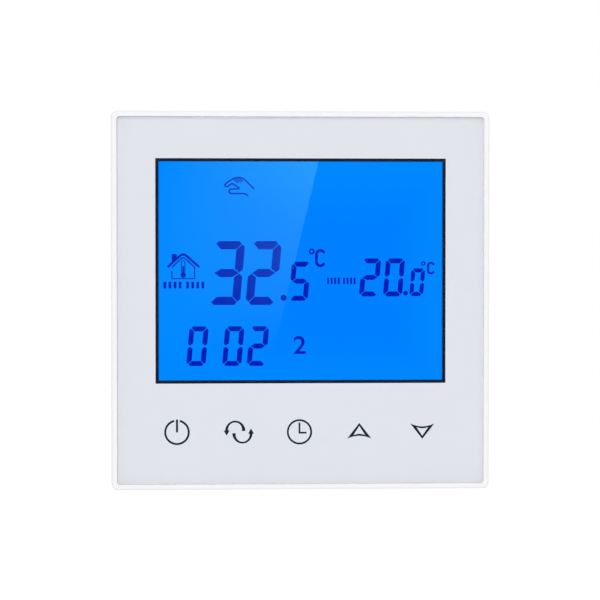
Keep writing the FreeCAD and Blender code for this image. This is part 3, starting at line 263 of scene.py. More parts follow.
def mirrored(x, z):
    """Place on the card that the camera sees mirrored at a place on the glass."""
    ratio = CARD_DISTANCE / (GLASS_LOW.y - camera.location.y)
    return x + (x - camera.location.x) * ratio, z + (z - camera.location.z) * ratio


glare_top = VIEW_Z + VIEW_HALF_Z
glare_low = VIEW_Z + GLARE_LOW_Z
glare_corners = [
    mirrored(-VIEW_HALF_X, glare_low),
    mirrored(GLARE_EDGE_X + GLARE_LEAN * GLARE_LOW_Z, glare_low),
    mirrored(GLARE_EDGE_X + GLARE_LEAN * VIEW_HALF_Z, glare_top),
    mirrored(-VIEW_HALF_X, glare_top),
]
window = bpy.data.materials.new("pale blue window light")
window.use_nodes = True
tree = window.node_tree
tree.nodes.clear()
axes = add(tree, "ShaderNodeSeparateXYZ", links={0: add(tree, "ShaderNodeTexCoord").outputs["Object"]})
lean = add(tree, "ShaderNodeMath", {"operation": "MULTIPLY", 1: -GLARE_LEAN}, {0: axes.outputs["Z"]})
across = add(tree, "ShaderNodeMath", {"operation": "ADD"}, {0: axes.outputs["X"], 1: lean.outputs[0]})
left_end, right_end = [glare_corners[corner][0] - GLARE_LEAN * glare_corners[corner][1]
                       for corner in (3, 2)]
growth = add(tree, "ShaderNodeMapRange", {"From Min": left_end, "From Max": right_end},
             {"Value": across.outputs[0]})
fade = add(tree, "ShaderNodeMapRange", {"From Min": glare_corners[0][1], "From Max": glare_corners[3][1],
                                        "To Max": GLARE_STRENGTH}, {"Value": axes.outputs["Z"]})
strength = add(tree, "ShaderNodeMath", {"operation": "MULTIPLY"}, {0: growth.outputs[0], 1: fade.outputs[0]})
glow = add(tree, "ShaderNodeEmission", {"Color": colour("#8CFFFF")}, {"Strength": strength.outputs[0]})
add(tree, "ShaderNodeOutputMaterial", links={"Surface": glow.outputs[0]})
card("window_card", glare_corners, GLASS_LOW.y - CARD_DISTANCE, window)
print(f"window card from {glare_corners[0]} to {glare_corners[2]}")

# %% [markdown]
# ## Materials
# Every finish starts from what the real thing is made of and how its surface came about. A material
# could be a single colour, but moulded plastic has grain from the mould, plated steel has the lines of
# its rolling, and printed ink pools a little. Each pattern's scale is a real size in millimetres, read on
# Object coordinates, so it stays put on the piece from every side.


# %% Start of a material
def start(name, hex_code, roughness, values=()):
    """New material with one Principled surface; returns it with its tree, surface and coordinates."""
    material = bpy.data.materials.new(name)
    material.use_nodes = True
    tree = material.node_tree
    tree.nodes.clear()
    settings = {"Base Color": colour(hex_code), "Roughness": roughness, **dict(values)}
    surface = add(tree, "ShaderNodeBsdfPrincipled", settings)
    add(tree, "ShaderNodeOutputMaterial", links={"Surface": surface.outputs[0]})
    return material, tree, surface, add(tree, "ShaderNodeTexCoord").outputs["Object"]


def vary(tree, surface, pattern, pale, dark, roughness, spread):
    """Lets one pattern drive the colour between two values and the roughness about its middle."""
    tint = add(tree, "ShaderNodeMix", {"data_type": "RGBA", 6: pale, 7: dark}, {0: pattern})
    rough = add(tree, "ShaderNodeMapRange", {"To Min": roughness - spread, "To Max": roughness + spread},
                {"Value": pattern})
    tree.links.new(tint.outputs[2], surface.inputs["Base Color"])
    tree.links.new(rough.outputs[0], surface.inputs["Roughness"])


def relief(tree, surface, pattern, depth_mm):
    """Raises the surface by a pattern, to a depth in millimetres."""
    bump = add(tree, "ShaderNodeBump", {"Strength": 1.0, "Distance": depth_mm * MM}, {"Height": pattern})
    tree.links.new(bump.outputs[0], surface.inputs["Normal"])


# %% [markdown]
# **Moulded plastic.** ABS and nylon leave the mould with its etched grain, a fraction of a millimetre
# across, and the melt's flow leaves slow changes of shade. Fine noise gives the first as relief, slow
# noise the second as colour and gloss. The grain is drawn at 0.3 mm or more, coarser than a polished
# mould's, so that it shows at all.


# %% Moulded plastics
def moulded(name, hex_code, roughness, grain_mm, depth_mm, values=()):
    """Plastic with the flow of its melt in its colour and its mould's grain as relief."""
    material, tree, surface, place = start(name, hex_code, roughness, values)
    flow = add(tree, "ShaderNodeTexNoise", {"Scale": 1 / (18 * MM), "Detail": 2.0}, {"Vector": place})
    vary(tree, surface, flow.outputs[0], colour(hex_code), colour(hex_code, 0.965), roughness, 0.05)
    grain = add(tree, "ShaderNodeTexNoise", {"Scale": 1 / (grain_mm * MM), "Detail": 3.0}, {"Vector": place})
    relief(tree, surface, grain.outputs[0], depth_mm)
    return material


FINISH = {
    "white_abs": moulded("white ABS, polished mould", "#F6F6F8", 0.28, 0.35, 0.004, {"Coat Weight": 0.15}),
    "black_abs": moulded("black ABS, satin mould", "#0A1830", 0.45, 0.3, 0.008, {"Specular IOR Level": 0.2}),
    "black_nylon": moulded("black nylon, satin mould", "#1B1B1D", 0.5, 0.3, 0.01),
    "grey_abs": moulded("pale grey ABS, sparked mould", "#C9CBCE", 0.5, 0.45, 0.03),
    "green_nylon": moulded("green nylon, satin mould", "#1F8A4C", 0.42, 0.4, 0.01),
    "blue_polyester": moulded("blue glass-filled polyester, moulded", "#1E4E9A", 0.36, 0.35, 0.008),
    "moulded_epoxy": moulded("black moulded epoxy, grit-etched", "#202022", 0.62, 0.3, 0.015),
    "yellow_epoxy": moulded("yellow film capacitor box, moulded", "#D9A420", 0.36, 0.4, 0.006),
    "blue_ceramic": moulded("blue epoxy, dipped over ceramic", "#1C5C9C", 0.3, 1.2, 0.03),
    "heat_shrink": moulded("green heat-shrink tube, shrunk", "#2A7A48", 0.48, 0.8, 0.02),
    "glass_bead": moulded("brown glazed bead, fired", "#6B4426", 0.2, 0.3, 0.006),
    "ferrite": moulded("dark ferrite, pressed and sintered", "#3A3A3D", 0.58, 0.3, 0.02),
}
print(f"{len(FINISH)} moulded and dipped finishes")

# %% [markdown]
# **Plated and drawn metal.** Sheet steel is rolled, so it carries fine lines one way, which the zinc or
# nickel on it only softens. Noise stretched along one axis draws those lines. A metal's colour is its
# reflection, so Metallic is full and the IOR stays as it is. The lines are drawn 0.15 mm apart or more.


# %% Metals
def plated(name, hex_code, roughness, line_mm, along, depth_mm):
    """Metal with lines along one axis, given as the stretch of the pattern along X, Y and Z."""
    material, tree, surface, place = start(name, hex_code, roughness, {"Metallic": 1.0})
    stretched = add(tree, "ShaderNodeMapping", {"Scale": along}, {"Vector": place})
    lines = add(tree, "ShaderNodeTexNoise", {"Scale": 1 / (line_mm * MM), "Detail": 4.0},
                {"Vector": stretched.outputs[0]})
    relief(tree, surface, lines.outputs[0], depth_mm)
    bloom = add(tree, "ShaderNodeTexNoise", {"Scale": 1 / (6 * MM), "Detail": 3.0}, {"Vector": place})
    vary(tree, surface, bloom.outputs[0], colour(hex_code, 1.05), colour(hex_code, 0.82), roughness, 0.1)
    return material


FINISH.update({
    "zinc_steel": plated("zinc-plated sheet steel, rolled", "#C3C6C9", 0.36, 0.25, (0.04, 1.0, 1.0), 0.006),
    "zinc_clamp_steel": plated("zinc-plated clamp steel, tumbled", "#CFCBBE", 0.34, 0.3, (1, 1, 1), 0.004),
    "nickel_steel": plated("nickel-plated steel, bright", "#D2CDC2", 0.22, 0.2, (1.0, 0.1, 1.0), 0.002),
    "gilt_brass": plated("gold-flashed brass, drawn", "#E3BE6A", 0.24, 0.15, (1.0, 0.06, 1.0), 0.002),
    "tinned_copper": plated("tinned copper strip, rolled", "#D6D2C8", 0.3, 0.2, (1.0, 0.08, 1.0), 0.003),
    "tinned_spring_wire": plated("tinned spring wire, drawn", "#CFCFCB", 0.28, 0.15, (1, 1, 0.3), 0.002),
    "soft_iron": plated("nickel-plated soft iron, stamped", "#A8A5A0", 0.38, 0.2, (0.1, 1.0, 1.0), 0.004),
})
print(f"{len(FINISH)} finishes with the metals")

# %% [markdown]
# **Toughened glass.** The front is float glass with ground and polished edges, faintly green in its
# depth. A solid of glass with an IOR of 1.5 bends and mirrors as the real sheet does. Lamps couldn't light
# the print through such a solid, because a path tracer rarely finds a lamp through bent light, so Light
# Path lets shadow, diffuse and mirror rays pass straight, which is nearly what a flat pane does anyway.
# Faint polishing haze varies its gloss.

# %% Glass
glass, tree, surface, place = start("toughened float glass, polished edges", "#FAFCFC", 0.0, {
    "Transmission Weight": 1.0, "IOR": 1.5})
haze = add(tree, "ShaderNodeTexNoise", {"Scale": 1 / (9 * MM), "Detail": 2.0}, {"Vector": place})
polish = add(tree, "ShaderNodeMapRange", {"To Min": 0.0, "To Max": 0.012}, {"Value": haze.outputs[0]})
tree.links.new(polish.outputs[0], surface.inputs["Roughness"])
path = add(tree, "ShaderNodeLightPath")
passes = add(tree, "ShaderNodeMath", {"operation": "MAXIMUM"},
             {0: path.outputs["Is Shadow Ray"], 1: path.outputs["Is Diffuse Ray"]})
passes = add(tree, "ShaderNodeMath", {"operation": "MAXIMUM"},
             {0: passes.outputs[0], 1: path.outputs["Is Glossy Ray"]})
clear = add(tree, "ShaderNodeBsdfTransparent", {"Color": colour("#FFFFFF")})
pane = add(tree, "ShaderNodeMixShader",
           links={0: passes.outputs[0], 1: surface.outputs[0], 2: clear.outputs[0]})
tree.links.new(pane.outputs[0], tree.nodes["Material Output"].inputs["Surface"])
FINISH["toughened_glass"] = glass
FINISH["clear_acrylic"] = moulded("clear acrylic light guide, moulded", "#DCEBFF", 0.12, 0.9, 0.02, {
    "Transmission Weight": 0.8})
print("glass passes lamps straight to the print behind it")

# %% [markdown]
# **Screen print.** The white behind the glass is two-part ink pushed through a mesh. It lies against the
# glass, so it has no gloss of its own, and its film thickness wanders a little, which shows as a faint
# cool mottle. The marks are one thin pass of a greenish black ink.


# %% Inks
def ink(name, hex_code, mottle_mm, dark):
    """Matt ink whose film wanders over a distance, down to a share of its colour."""
    material, tree, surface, place = start(name, hex_code, 0.7, {"Specular IOR Level": 0.0})
    film = add(tree, "ShaderNodeTexNoise", {"Scale": 1 / (mottle_mm * MM), "Detail": 3.0}, {"Vector": place})
    vary(tree, surface, film.outputs[0], colour(hex_code, 1.01), colour(hex_code, dark), 0.7, 0.04)
    mesh_marks = add(tree, "ShaderNodeTexNoise", {"Scale": 1 / (0.3 * MM), "Detail": 1.0}, {"Vector": place})
    relief(tree, surface, mesh_marks.outputs[0], 0.002)
    return material


WHITE_INK = ink("white screen print, fired", "#E4E5EC", 22, 0.985)
MARK_INK = ink("greenish black screen print, fired", "#1A2E34", 4, 0.85)
print("white and dark inks")

# %% [markdown]
# ** Lit display.** A blue lamp at one side shines into the light guide, and the cell turns that into a
# nearly even blue field. It is a little paler towards the left and upper edges. In the last fraction of a
# millimetre under the holder's edge it is painted dark, a painted shadow of the holder's lip in the emission.
# The field gives out light, so it is the surface's emission. Liquid crystal that is switched on blocks most
# of it and leaves a deep blue.


# %% Display light
def edge_share(tree, value, centre, half, start_at, end_at):
    """How far a coordinate lies between two shares of the way from the centre to an edge, from 0 to 1."""
    offset = add(tree, "ShaderNodeMath", {"operation": "SUBTRACT", 1: centre}, {0: value})
    return add(tree, "ShaderNodeMapRange", {"interpolation_type": "SMOOTHSTEP", "From Min": start_at * half,
                                            "From Max": end_at * half}, {"Value": offset.outputs[0]})


def most_of(tree, shares):
    """Largest of several shares."""
    most = shares[0]
    for share in shares[1:]:
        most = add(tree, "ShaderNodeMath", {"operation": "MAXIMUM"},
                   {0: most.outputs[0], 1: share.outputs[0]})
    return most


GLASS_LOSS = 1.085  # makes up for what the front glass takes from the display's light
field, tree, surface, place = start("lit liquid crystal field with painted edge shadow", "#000000", 0.35, {
    "Specular IOR Level": 0.0, "Emission Strength": GLASS_LOSS})
axes = add(tree, "ShaderNodeSeparateXYZ", links={0: place})
paler = [
    edge_share(tree, axes.outputs["X"], 0.0, VIEW_HALF_X, 0.1, -1.0),
    edge_share(tree, axes.outputs["X"], 0.0, VIEW_HALF_X, 0.6, 1.1),
    edge_share(tree, axes.outputs["Z"], VIEW_Z, VIEW_HALF_Z, 0.35, 1.05),
    edge_share(tree, axes.outputs["Z"], VIEW_Z, VIEW_HALF_Z, -0.55, -1.1),
]
blue = add(tree, "ShaderNodeMix", {"data_type": "RGBA", 6: colour("#007FFF"), 7: colour("#0087FF")},
           {0: most_of(tree, paler).outputs[0]})
# Painted shadow: near each edge the field's emission is darkened to a deep blue that stands in for the shade
# of the holder's lip.
SHADE_START, SHADE_END = 0.991, 1.008  # the holder's shade, as shares of the way to each edge
shadow = most_of(tree, [
    edge_share(tree, axes.outputs[axis], centre, half, end * SHADE_START, end * SHADE_END)
    for axis, centre, half in (("X", 0.0, VIEW_HALF_X), ("Z", VIEW_Z, VIEW_HALF_Z)) for end in (1, -1)])
blue = add(tree, "ShaderNodeMix", {"data_type": "RGBA", 7: colour("#054C92")},
           {0: shadow.outputs[0], 6: blue.outputs[2]})
tree.links.new(blue.outputs[2], surface.inputs["Emission Color"])
FINISH["display_cell"] = field

segment_ink, tree, surface, place = start("dark liquid crystal, switched on", "#000000", 0.35, {
    "Specular IOR Level": 0.0, "Emission Strength": GLASS_LOSS})
leak = add(tree, "ShaderNodeTexNoise", {"Scale": 1 / (3 * MM), "Detail": 1.0}, {"Vector": place})
deep = add(tree, "ShaderNodeMix", {"data_type": "RGBA", 6: colour("#0016A8"), 7: colour("#0424BC")},
           {0: leak.outputs[0]})
tree.links.new(deep.outputs[2], surface.inputs["Emission Color"])
print("display field and segments")

# %% [markdown]
# **Inner pieces with a pattern of their own.** The boards are green with copper tracks and tinned
# holes, the connector strip is a stack of thin conducting layers, the relay's coil is turns of
# enamelled wire, the transformer is wrapped in yellow film, and the capacitors wear a printed sleeve with a
# bright can end. Each has one pattern that says what it is: bricks for tracks, waves for layers and turns.

# %% Circuit board
TRACK_GRID = 6 * MM
HOLE_SPACING = 3.2 * MM
board, tree, surface, place = start("green solder mask over copper, laminated", "#1D6B3A", 0.34, {
    "Coat Weight": 0.3})
flat = add(tree, "ShaderNodeMapping", {"Rotation": (math.radians(90), 0, 0)}, {"Vector": place})
tracks = add(tree, "ShaderNodeTexBrick", {
    "Color1": (0, 0, 0, 1), "Color2": (0, 0, 0, 1), "Mortar": (1, 1, 1, 1), "Scale": 1 / TRACK_GRID,
    "Mortar Size": 0.03, "Brick Width": 0.9, "Row Height": 0.28}, {"Vector": flat.outputs[0]})
holes = add(tree, "ShaderNodeTexVoronoi", {"Scale": 1 / HOLE_SPACING}, {"Vector": flat.outputs[0]})
tinned = add(tree, "ShaderNodeMath", {"operation": "LESS_THAN", 1: 0.14}, {0: holes.outputs["Distance"]})
mask = add(tree, "ShaderNodeMix", {"data_type": "RGBA", 6: colour("#175E31"), 7: colour("#2A8A4C")},
           {0: tracks.outputs["Color"]})
mask = add(tree, "ShaderNodeMix", {"data_type": "RGBA", 7: colour("#C9C8C0")},
           {0: tinned.outputs[0], 6: mask.outputs[2]})
tree.links.new(mask.outputs[2], surface.inputs["Base Color"])
tree.links.new(tinned.outputs[0], surface.inputs["Metallic"])
relief(tree, surface, tracks.outputs["Color"], 0.03)
FINISH["circuit_board"] = board


# %% Layers and turns
WAVE_LENGTH = 0.314  # between two bands of a wave texture whose scale is 1


def layered(name, hex_a, hex_b, pitch_mm, axis, roughness, values=()):
    """Bands of two colours square to one axis, as deep as a tenth of their pitch."""
    material, tree, surface, place = start(name, hex_a, roughness, values)
    bands = add(tree, "ShaderNodeTexWave", {"bands_direction": axis, "Scale": WAVE_LENGTH / (pitch_mm * MM)},
                {"Vector": place})
    vary(tree, surface, bands.outputs["Fac"], colour(hex_a), colour(hex_b), roughness, 0.04)
    relief(tree, surface, bands.outputs["Fac"], 0.1 * pitch_mm)
    return material


FINISH.update({
    "contact_rubber": layered("layered conducting rubber, cut", "#E6B7AE", "#2A2426", 0.4, "X", 0.6),
    "enamelled_copper": layered("enamelled copper wire, wound", "#C8743C", "#8A4420", 0.35, "X", 0.3, {
        "Metallic": 0.8}),
    "yellow_tape": layered("yellow polyester film, wrapped", "#E8C23A", "#D0A628", 2.2, "Z", 0.3),
    "foam_tape": layered("closed-cell foam tape, cut", "#D8D8D6", "#C6C6C4", 0.5, "Y", 0.8),
    "white_film": layered("white reflector film, drawn", "#F4F4F4", "#EAEAEA", 1.5, "X", 0.45),
})
sleeve, tree, surface, place = start("black printed sleeve with bare can end", "#17191F", 0.35)
ends = add(tree, "ShaderNodeSeparateXYZ", links={0: add(tree, "ShaderNodeNewGeometry").outputs["Normal"]})
bare = add(tree, "ShaderNodeMath", {"operation": "GREATER_THAN", 1: 0.8}, {0: ends.outputs["Y"]})
skin = add(tree, "ShaderNodeMix", {"data_type": "RGBA", 6: colour("#17191F"), 7: colour("#CACCCF")},
           {0: bare.outputs[0]})
tree.links.new(skin.outputs[2], surface.inputs["Base Color"])
tree.links.new(bare.outputs[0], surface.inputs["Metallic"])
FINISH["capacitor_sleeve"] = sleeve
lamp, tree, surface, place = start("blue lamp, clear epoxy over chip", "#BFD6FF", 0.2, {
    "Emission Color": colour("#3C7BFF"), "Emission Strength": 1.5})
swirl = add(tree, "ShaderNodeTexNoise", {"Scale": 1 / (0.8 * MM)}, {"Vector": place})
relief(tree, surface, swirl.outputs[0], 0.02)
FINISH["blue_lamp"] = lamp
print(f"{len(FINISH)} finishes in all")

# %% [markdown]
# Each node keeps its shape and takes the finish of its material slot. The record names the slot, so the
# loop needs no list of its own, and a slot without a finish stops the script.

# %% Finish of every node
for part in frame["record"]["subparts"]:
    mesh = NODES[part["node"]].data
    mesh.materials.clear()
    mesh.materials.append(FINISH[part["material_slot"]])

# %% [markdown]
# ## What is printed and shown
# The print, the marks and the digits are thin flat solids. Each could be painted on by a texture, but a
# solid keeps a crisp edge at any distance and leaves with the model. They are drawn in millimetres on the
# XY plane, thickened, and stood up to face the room, one thin layer behind the other.


# %% Helpers for flat pieces
def thicken(shape, thickness):
    """Makes closed solids of a bmesh's flat faces, from z = 0 up to a thickness."""
    made = bmesh.ops.extrude_face_region(shape, geom=shape.faces[:], use_keep_orig=True)
    tops = [item for item in made["geom"] if isinstance(item, bmesh.types.BMVert)]
    bmesh.ops.translate(shape, verts=tops, vec=(0, 0, thickness))
    bmesh.ops.recalc_face_normals(shape, faces=shape.faces[:])


def stand_up(name, shape, back_y, centre, material, facing=-1):
    """Turns a bmesh drawn in millimetres upright at a place, and makes it a piece of its own.

    facing is -1 for a piece that faces the room and 1 for one that faces into the wall.
    """
    upright = Matrix.Rotation(math.radians(90), 4, "X")
    if facing > 0:
        upright = Matrix.Rotation(math.radians(180), 4, "Z") @ upright
    middle = Matrix.Translation((centre[0], back_y, centre[1]))
    bmesh.ops.transform(shape, verts=shape.verts, matrix=middle @ upright @ Matrix.Scale(MM, 4))
    mesh = bpy.data.meshes.new(name)
    shape.to_mesh(mesh)
    shape.free()
    mesh.materials.append(material)
    piece = bpy.data.objects.new(name, mesh)
    scene.collection.objects.link(piece)
    print(f"{name}: {len(mesh.polygons)} faces")
    return piece


# %% [markdown]
# **White print.** The print covers the back of the glass but for a margin at its edge and the window.
# The window is a little larger than the display, so the holder's black edge frames the blue. A ring of
# four strips could make it, but their corners would show. One plate with a hole is cleaner: an outer and an
# inner loop of edges joined by bridge_loops, then given their thickness.

# %% White print behind the glass
GLASS_HALF = (GLASS_HIGH.x - GLASS_LOW.x) / 2
PRINT_MARGIN = 0.05 * MM
PRINT_THICKNESS = 0.015
HOLDER_EDGE = (0.71 * MM, 0.7 * MM)  # what shows of the holder beside the display, and above and below it
WINDOW_HALF = (VIEW_HALF_X + HOLDER_EDGE[0], VIEW_HALF_Z + HOLDER_EDGE[1])
LAYER = 0.008  # air between one thin layer and the next
MARK_THICKNESS = 0.008
MARK_BACK_Y = GLASS_HIGH.y + (LAYER + MARK_THICKNESS) * MM


def loop(shape, points):
    """Closed row of edges through points in millimetres."""
    corners = [shape.verts.new((x, y, 0)) for x, y in points]
    return [shape.edges.new((corners[index - 1], corners[index])) for index in range(len(corners))]


def frame_plate(outer, inner, thickness):
    """Square plate with a window, each side given as half sizes in metres and a height above the middle."""
    shape = bmesh.new()
    edges = []
    for half_x, half_z, middle_z in (outer, inner):
        edges += loop(shape, [(side * half_x / MM, (middle_z + level * half_z) / MM)
                              for side, level in SQUARE])
    bmesh.ops.bridge_loops(shape, edges=edges)
    thicken(shape, thickness)
    return shape


PRINT_BACK_Y = MARK_BACK_Y + (LAYER + PRINT_THICKNESS) * MM
print_half = GLASS_HALF - PRINT_MARGIN
shape = frame_plate((print_half, print_half, 0), (*WINDOW_HALF, VIEW_Z), PRINT_THICKNESS)
white_print = stand_up("glass_print", shape, PRINT_BACK_Y, (0, 0), WHITE_INK)
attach(white_print, "panel")

# %% [markdown]
# **Foam tape.** The tape that holds the glass in its casing presses on the print. The frame's tape reaches
# the bare glass, because the frame has no print, so a tape that is thinner by the print stands for it.

# %% Foam tape under the print
TAPE_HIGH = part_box("glass_tape")[1]
TAPE_WIDTH = 3.0 * MM
tape_half = TAPE_HIGH.x
tape_hole = tape_half - TAPE_WIDTH
tape_thickness = (TAPE_HIGH.y - PRINT_BACK_Y) / MM - LAYER
shape = frame_plate((tape_half, tape_half, 0), (tape_hole, tape_hole, 0), tape_thickness)
tape = stand_up("cut_foam_tape", shape, TAPE_HIGH.y, (0, 0), FINISH["foam_tape"])
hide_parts("glass_tape")
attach(tape, "panel")

# %% [markdown]
# **Shapes that the marks share.** Every mark and digit is put together from an arc, a bar, a face through a
# few points, or a pen line. The arc is spun, the bar is a scaled grid, and the pen line is a round tube along
# a curve, pressed flat, because its width can swell and thin on the way.


# %% Shapes that the marks share
def arc(shape, radius, stroke, from_deg, sweep_deg, centre=(0.0, 0.0)):
    """Flat ring or part of one, spun from a short radial edge."""
    turn = Matrix.Rotation(math.radians(from_deg), 3, "Z")
    ends = [shape.verts.new(turn @ Vector((radius + side * stroke / 2, 0, 0)) + Vector((*centre, 0)))
            for side in (-1, 1)]
    edge = shape.edges.new(ends)
    steps = max(8, round(abs(sweep_deg) / 6))
    bmesh.ops.spin(shape, geom=[*ends, edge], cent=(*centre, 0), axis=(0, 0, 1),
                   angle=math.radians(sweep_deg), steps=steps, use_merge=abs(sweep_deg) == 360)


def bar(shape, low, high):
    """Flat upright rectangle between two corners."""
    made = bmesh.ops.create_grid(shape, x_segments=1, y_segments=1, size=0.5)
    size = (high[0] - low[0], high[1] - low[1], 1)
    bmesh.ops.scale(shape, verts=made["verts"], vec=size)
    bmesh.ops.translate(shape, verts=made["verts"], vec=((low[0] + high[0]) / 2, (low[1] + high[1]) / 2, 0))


def outline(shape, points):
    """Flat face through a few points."""
    return shape.faces.new([shape.verts.new((x, y, 0)) for x, y in points])


def pen_line(shape, points, widths, thickness):
    """Line of changing width, as a tube through the points, pressed flat."""
    curve = bpy.data.curves.new("pen", "CURVE")
    curve.dimensions = "3D"
    curve.bevel_depth = 0.5
    curve.bevel_resolution = 3
    curve.use_fill_caps = True
    line = curve.splines.new("POLY")
    line.points.add(len(points) - 1)
    for point, (x, y), width in zip(line.points, points, widths):
        point.co = (x, y, 0, 1)
        point.radius = width
    holder = bpy.data.objects.new("pen", curve)
    scene.collection.objects.link(holder)
    drawn = bpy.data.meshes.new_from_object(holder.evaluated_get(bpy.context.evaluated_depsgraph_get()))
    bpy.data.objects.remove(holder)
    before = len(shape.verts)
    shape.from_mesh(drawn)
    shape.verts.ensure_lookup_table()
    fresh = shape.verts[before:]
    deep = max(abs(vert.co.z) for vert in fresh)
    bmesh.ops.scale(shape, verts=fresh, vec=(1, 1, thickness / 2 / deep))
    bmesh.ops.translate(shape, verts=fresh, vec=(0, 0, thickness / 2))
    bpy.data.meshes.remove(drawn)


# %% [markdown]
# **Touch marks.** Five signs stand in a row over the springs that feel the finger: on and off, mode,
# clock, up and down. All are drawn with one pen width. Rings are spun from a short edge; the up and down
# signs are a triangle with a hollow base, bridged between an outer and an inner loop; the mode sign is two
# swinging arrows whose line thins in the middle, which the pen line does best. All sizes are in millimetres.

# %% Touch marks
PEN = 0.46
MARK_RADIUS = 2.65
POWER_OPENING = 27  # degrees left open at the top of the on and off sign
POWER_STEM = 2.9
MARK_Z = -29.7 * MM
MARK_X = {"power": -28.0, "mode": -14.05, "clock": -0.33, "up": 13.24, "down": 27.57}


def power_sign(shape):
    """Ring open at the top, with an upright stroke in the gap."""
    arc(shape, MARK_RADIUS, PEN, 90 + POWER_OPENING / 2, 360 - POWER_OPENING)
    bar(shape, (-PEN / 2, 0.0), (PEN / 2, POWER_STEM))
    thicken(shape, MARK_THICKNESS)


def clock_sign(shape):
    """Ring with two hands at three o'clock."""
    arc(shape, MARK_RADIUS, PEN * 0.93, 0, 360)
    outline(shape, [(-0.2, -0.4), (1.6, -0.4), (1.6, 0.0), (0.2, 0.0), (0.2, 2.1), (-0.2, 2.1)])
    thicken(shape, MARK_THICKNESS)


def arrow_sign(shape, tip, foot):
    """Hollow triangle with a hollow base, between an outer and an inner loop of as many points."""
    direction = math.copysign(1, tip)
    steps = 8
    edges = []
    outer = (2.75, tip, foot, 0.65)
    inner = (1.35, tip - 0.68 * direction, foot + 0.8 * direction, 0.28)
    for half_width, top, base, hollow in (outer, inner):
        points = [(0.0, top)]
        for index in range(steps + 1):
            share = 1 - 2 * index / steps
            points.append((half_width * share, base + direction * hollow * (1 - share ** 2)))
        edges += loop(shape, points)
    bmesh.ops.bridge_loops(shape, edges=edges)
    thicken(shape, MARK_THICKNESS)


def mode_sign(shape):
    """Two arrows that chase each other, the second a half turn of the first."""
    head = [(-2.76, -0.8), (-3.42, 0.38), (-2.08, 0.38)]
    outline(shape, head)
    outline(shape, [(-x, -y) for x, y in head])
    thicken(shape, MARK_THICKNESS)
    sweep = []
    widths = []
    steps = 14
    middle_x, middle_y = -0.83, 0.4
    radius_x, radius_y = 1.93, 2.0
    for index in range(steps + 1):
        share = index / steps
        turn = math.radians(184 - 188 * share)
        sweep.append((middle_x + radius_x * math.cos(turn), middle_y + radius_y * math.sin(turn)))
        widths.append(PEN * (0.85 + 0.75 * (2 * share - 0.9) ** 2))  # thinnest a little before the top
    pen_line(shape, sweep, widths, MARK_THICKNESS)
    pen_line(shape, [(-x, -y) for x, y in sweep], widths, MARK_THICKNESS)


SIGNS = {
    "power": power_sign, "mode": mode_sign, "clock": clock_sign,
    "up": lambda shape: arrow_sign(shape, 1.97, -1.6), "down": lambda shape: arrow_sign(shape, -1.7, 1.78),
}
for name, draw in SIGNS.items():
    shape = bmesh.new()
    draw(shape)
    mark = stand_up(f"{name}_mark", shape, MARK_BACK_Y, (MARK_X[name] * MM, MARK_Z), MARK_INK)
    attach(mark, "panel")

# %% [markdown]
# **Digits.** A display digit is seven bars with mitred ends and a hair of space between them, all leaning
# five degrees. One bar is a face through a few points, and the others are its mirror images, so a function
# gives all seven from a width, a height and a bar's breadth. Which bars are lit makes the number.

# %% Seven-bar digits
LEAN = math.tan(math.radians(5))
BAR_GAP = 0.06  # half of the hair of space, sideways
CORNER_CUT = 0.72  # share of a bar's breadth cut from the digit's outer corners
WAIST_CUT = 0.42  # the same where the middle bar ends
LIT = {"0": "abcdef", "2": "abged", "3": "abgcd", "5": "afgcd"}


def seven_bars(width, height, breadth):
    """Corner points of the seven bars, named a to g as is usual, from the digit's lower left corner."""
    middle, half = height / 2, breadth / 2
    cut, waist, gap = breadth * CORNER_CUT, breadth * WAIST_CUT, BAR_GAP
    top = [(cut, height), (cut / 2 + gap, height - cut / 2 + gap), (breadth + gap, height - breadth),
           (width - breadth - gap, height - breadth), (width - cut / 2 - gap, height - cut / 2 + gap),
           (width - cut, height)]
    left = [(0, height - cut), (cut / 2 - gap, height - cut / 2 - gap), (breadth, height - breadth - 2 * gap),
            (breadth, middle + half + gap), (waist, middle + 2 * gap), (0, middle + waist)]
    inner = breadth + waist / 2
    centre = [(waist + gap, middle), (inner, middle + half), (width - inner, middle + half),
              (width - waist - gap, middle), (width - inner, middle - half), (inner, middle - half)]

    def flip(points, across, over):
        return [(width - x if across else x, height - y if over else y) for x, y in points]

    return {"a": top, "f": left, "g": centre, "b": flip(left, True, False), "c": flip(left, True, True),
            "d": flip(top, False, True), "e": flip(left, False, True)}


def digit(shape, number, corner, width, height, breadth):
    """Adds a leaning digit whose lower left corner is at a place."""
    bars = seven_bars(width, height, breadth)
    for letter in LIT[number]:
        outline(shape, [(corner[0] + x + LEAN * y, corner[1] + y) for x, y in bars[letter]])


def dot(shape, centre, radius):
    """Round dot."""
    made = bmesh.ops.create_circle(shape, cap_ends=True, segments=24, radius=radius)
    bmesh.ops.translate(shape, verts=made["verts"], vec=(*centre, 0))


# %% [markdown]
# The numbers stand in four groups, placed from the display's middle: the room's temperature large, the set
# temperature smaller at the right, a counter below, and a plain figure beside it. Each row below is the
# number, its lower left corner, width, height and bar breadth in millimetres. Temperatures are read in
# degrees Celsius, so a ring and a letter stand beside them.

# %% Numbers on the display
SEGMENT_THICKNESS = 0.008
SEGMENT_GAP = 0.004 * MM  # from the cell to the segments
SEGMENT_BACK_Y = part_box("lcd_glass")[0].y - SEGMENT_GAP
ROOM = (("3", (-21.05, -7.67), 7.25, 14.42, 1.86), ("2", (-12.55, -7.67), 7.0, 14.42, 1.86),
        ("5", (-2.8, -6.75), 4.35, 8.85, 1.15))
SET_POINT = (("2", (13.13, -5.77), 4.35, 8.6, 1.12), ("0", (18.57, -5.77), 4.35, 8.6, 1.12),
             ("0", (24.55, -5.7), 3.15, 6.27, 0.93))
COUNTER = (("0", (-25.93, -21.45), 4.35, 8.97, 1.15), ("0", (-17.85, -21.45), 4.35, 8.97, 1.15),
           ("2", (-12.3, -21.45), 4.35, 8.97, 1.15))


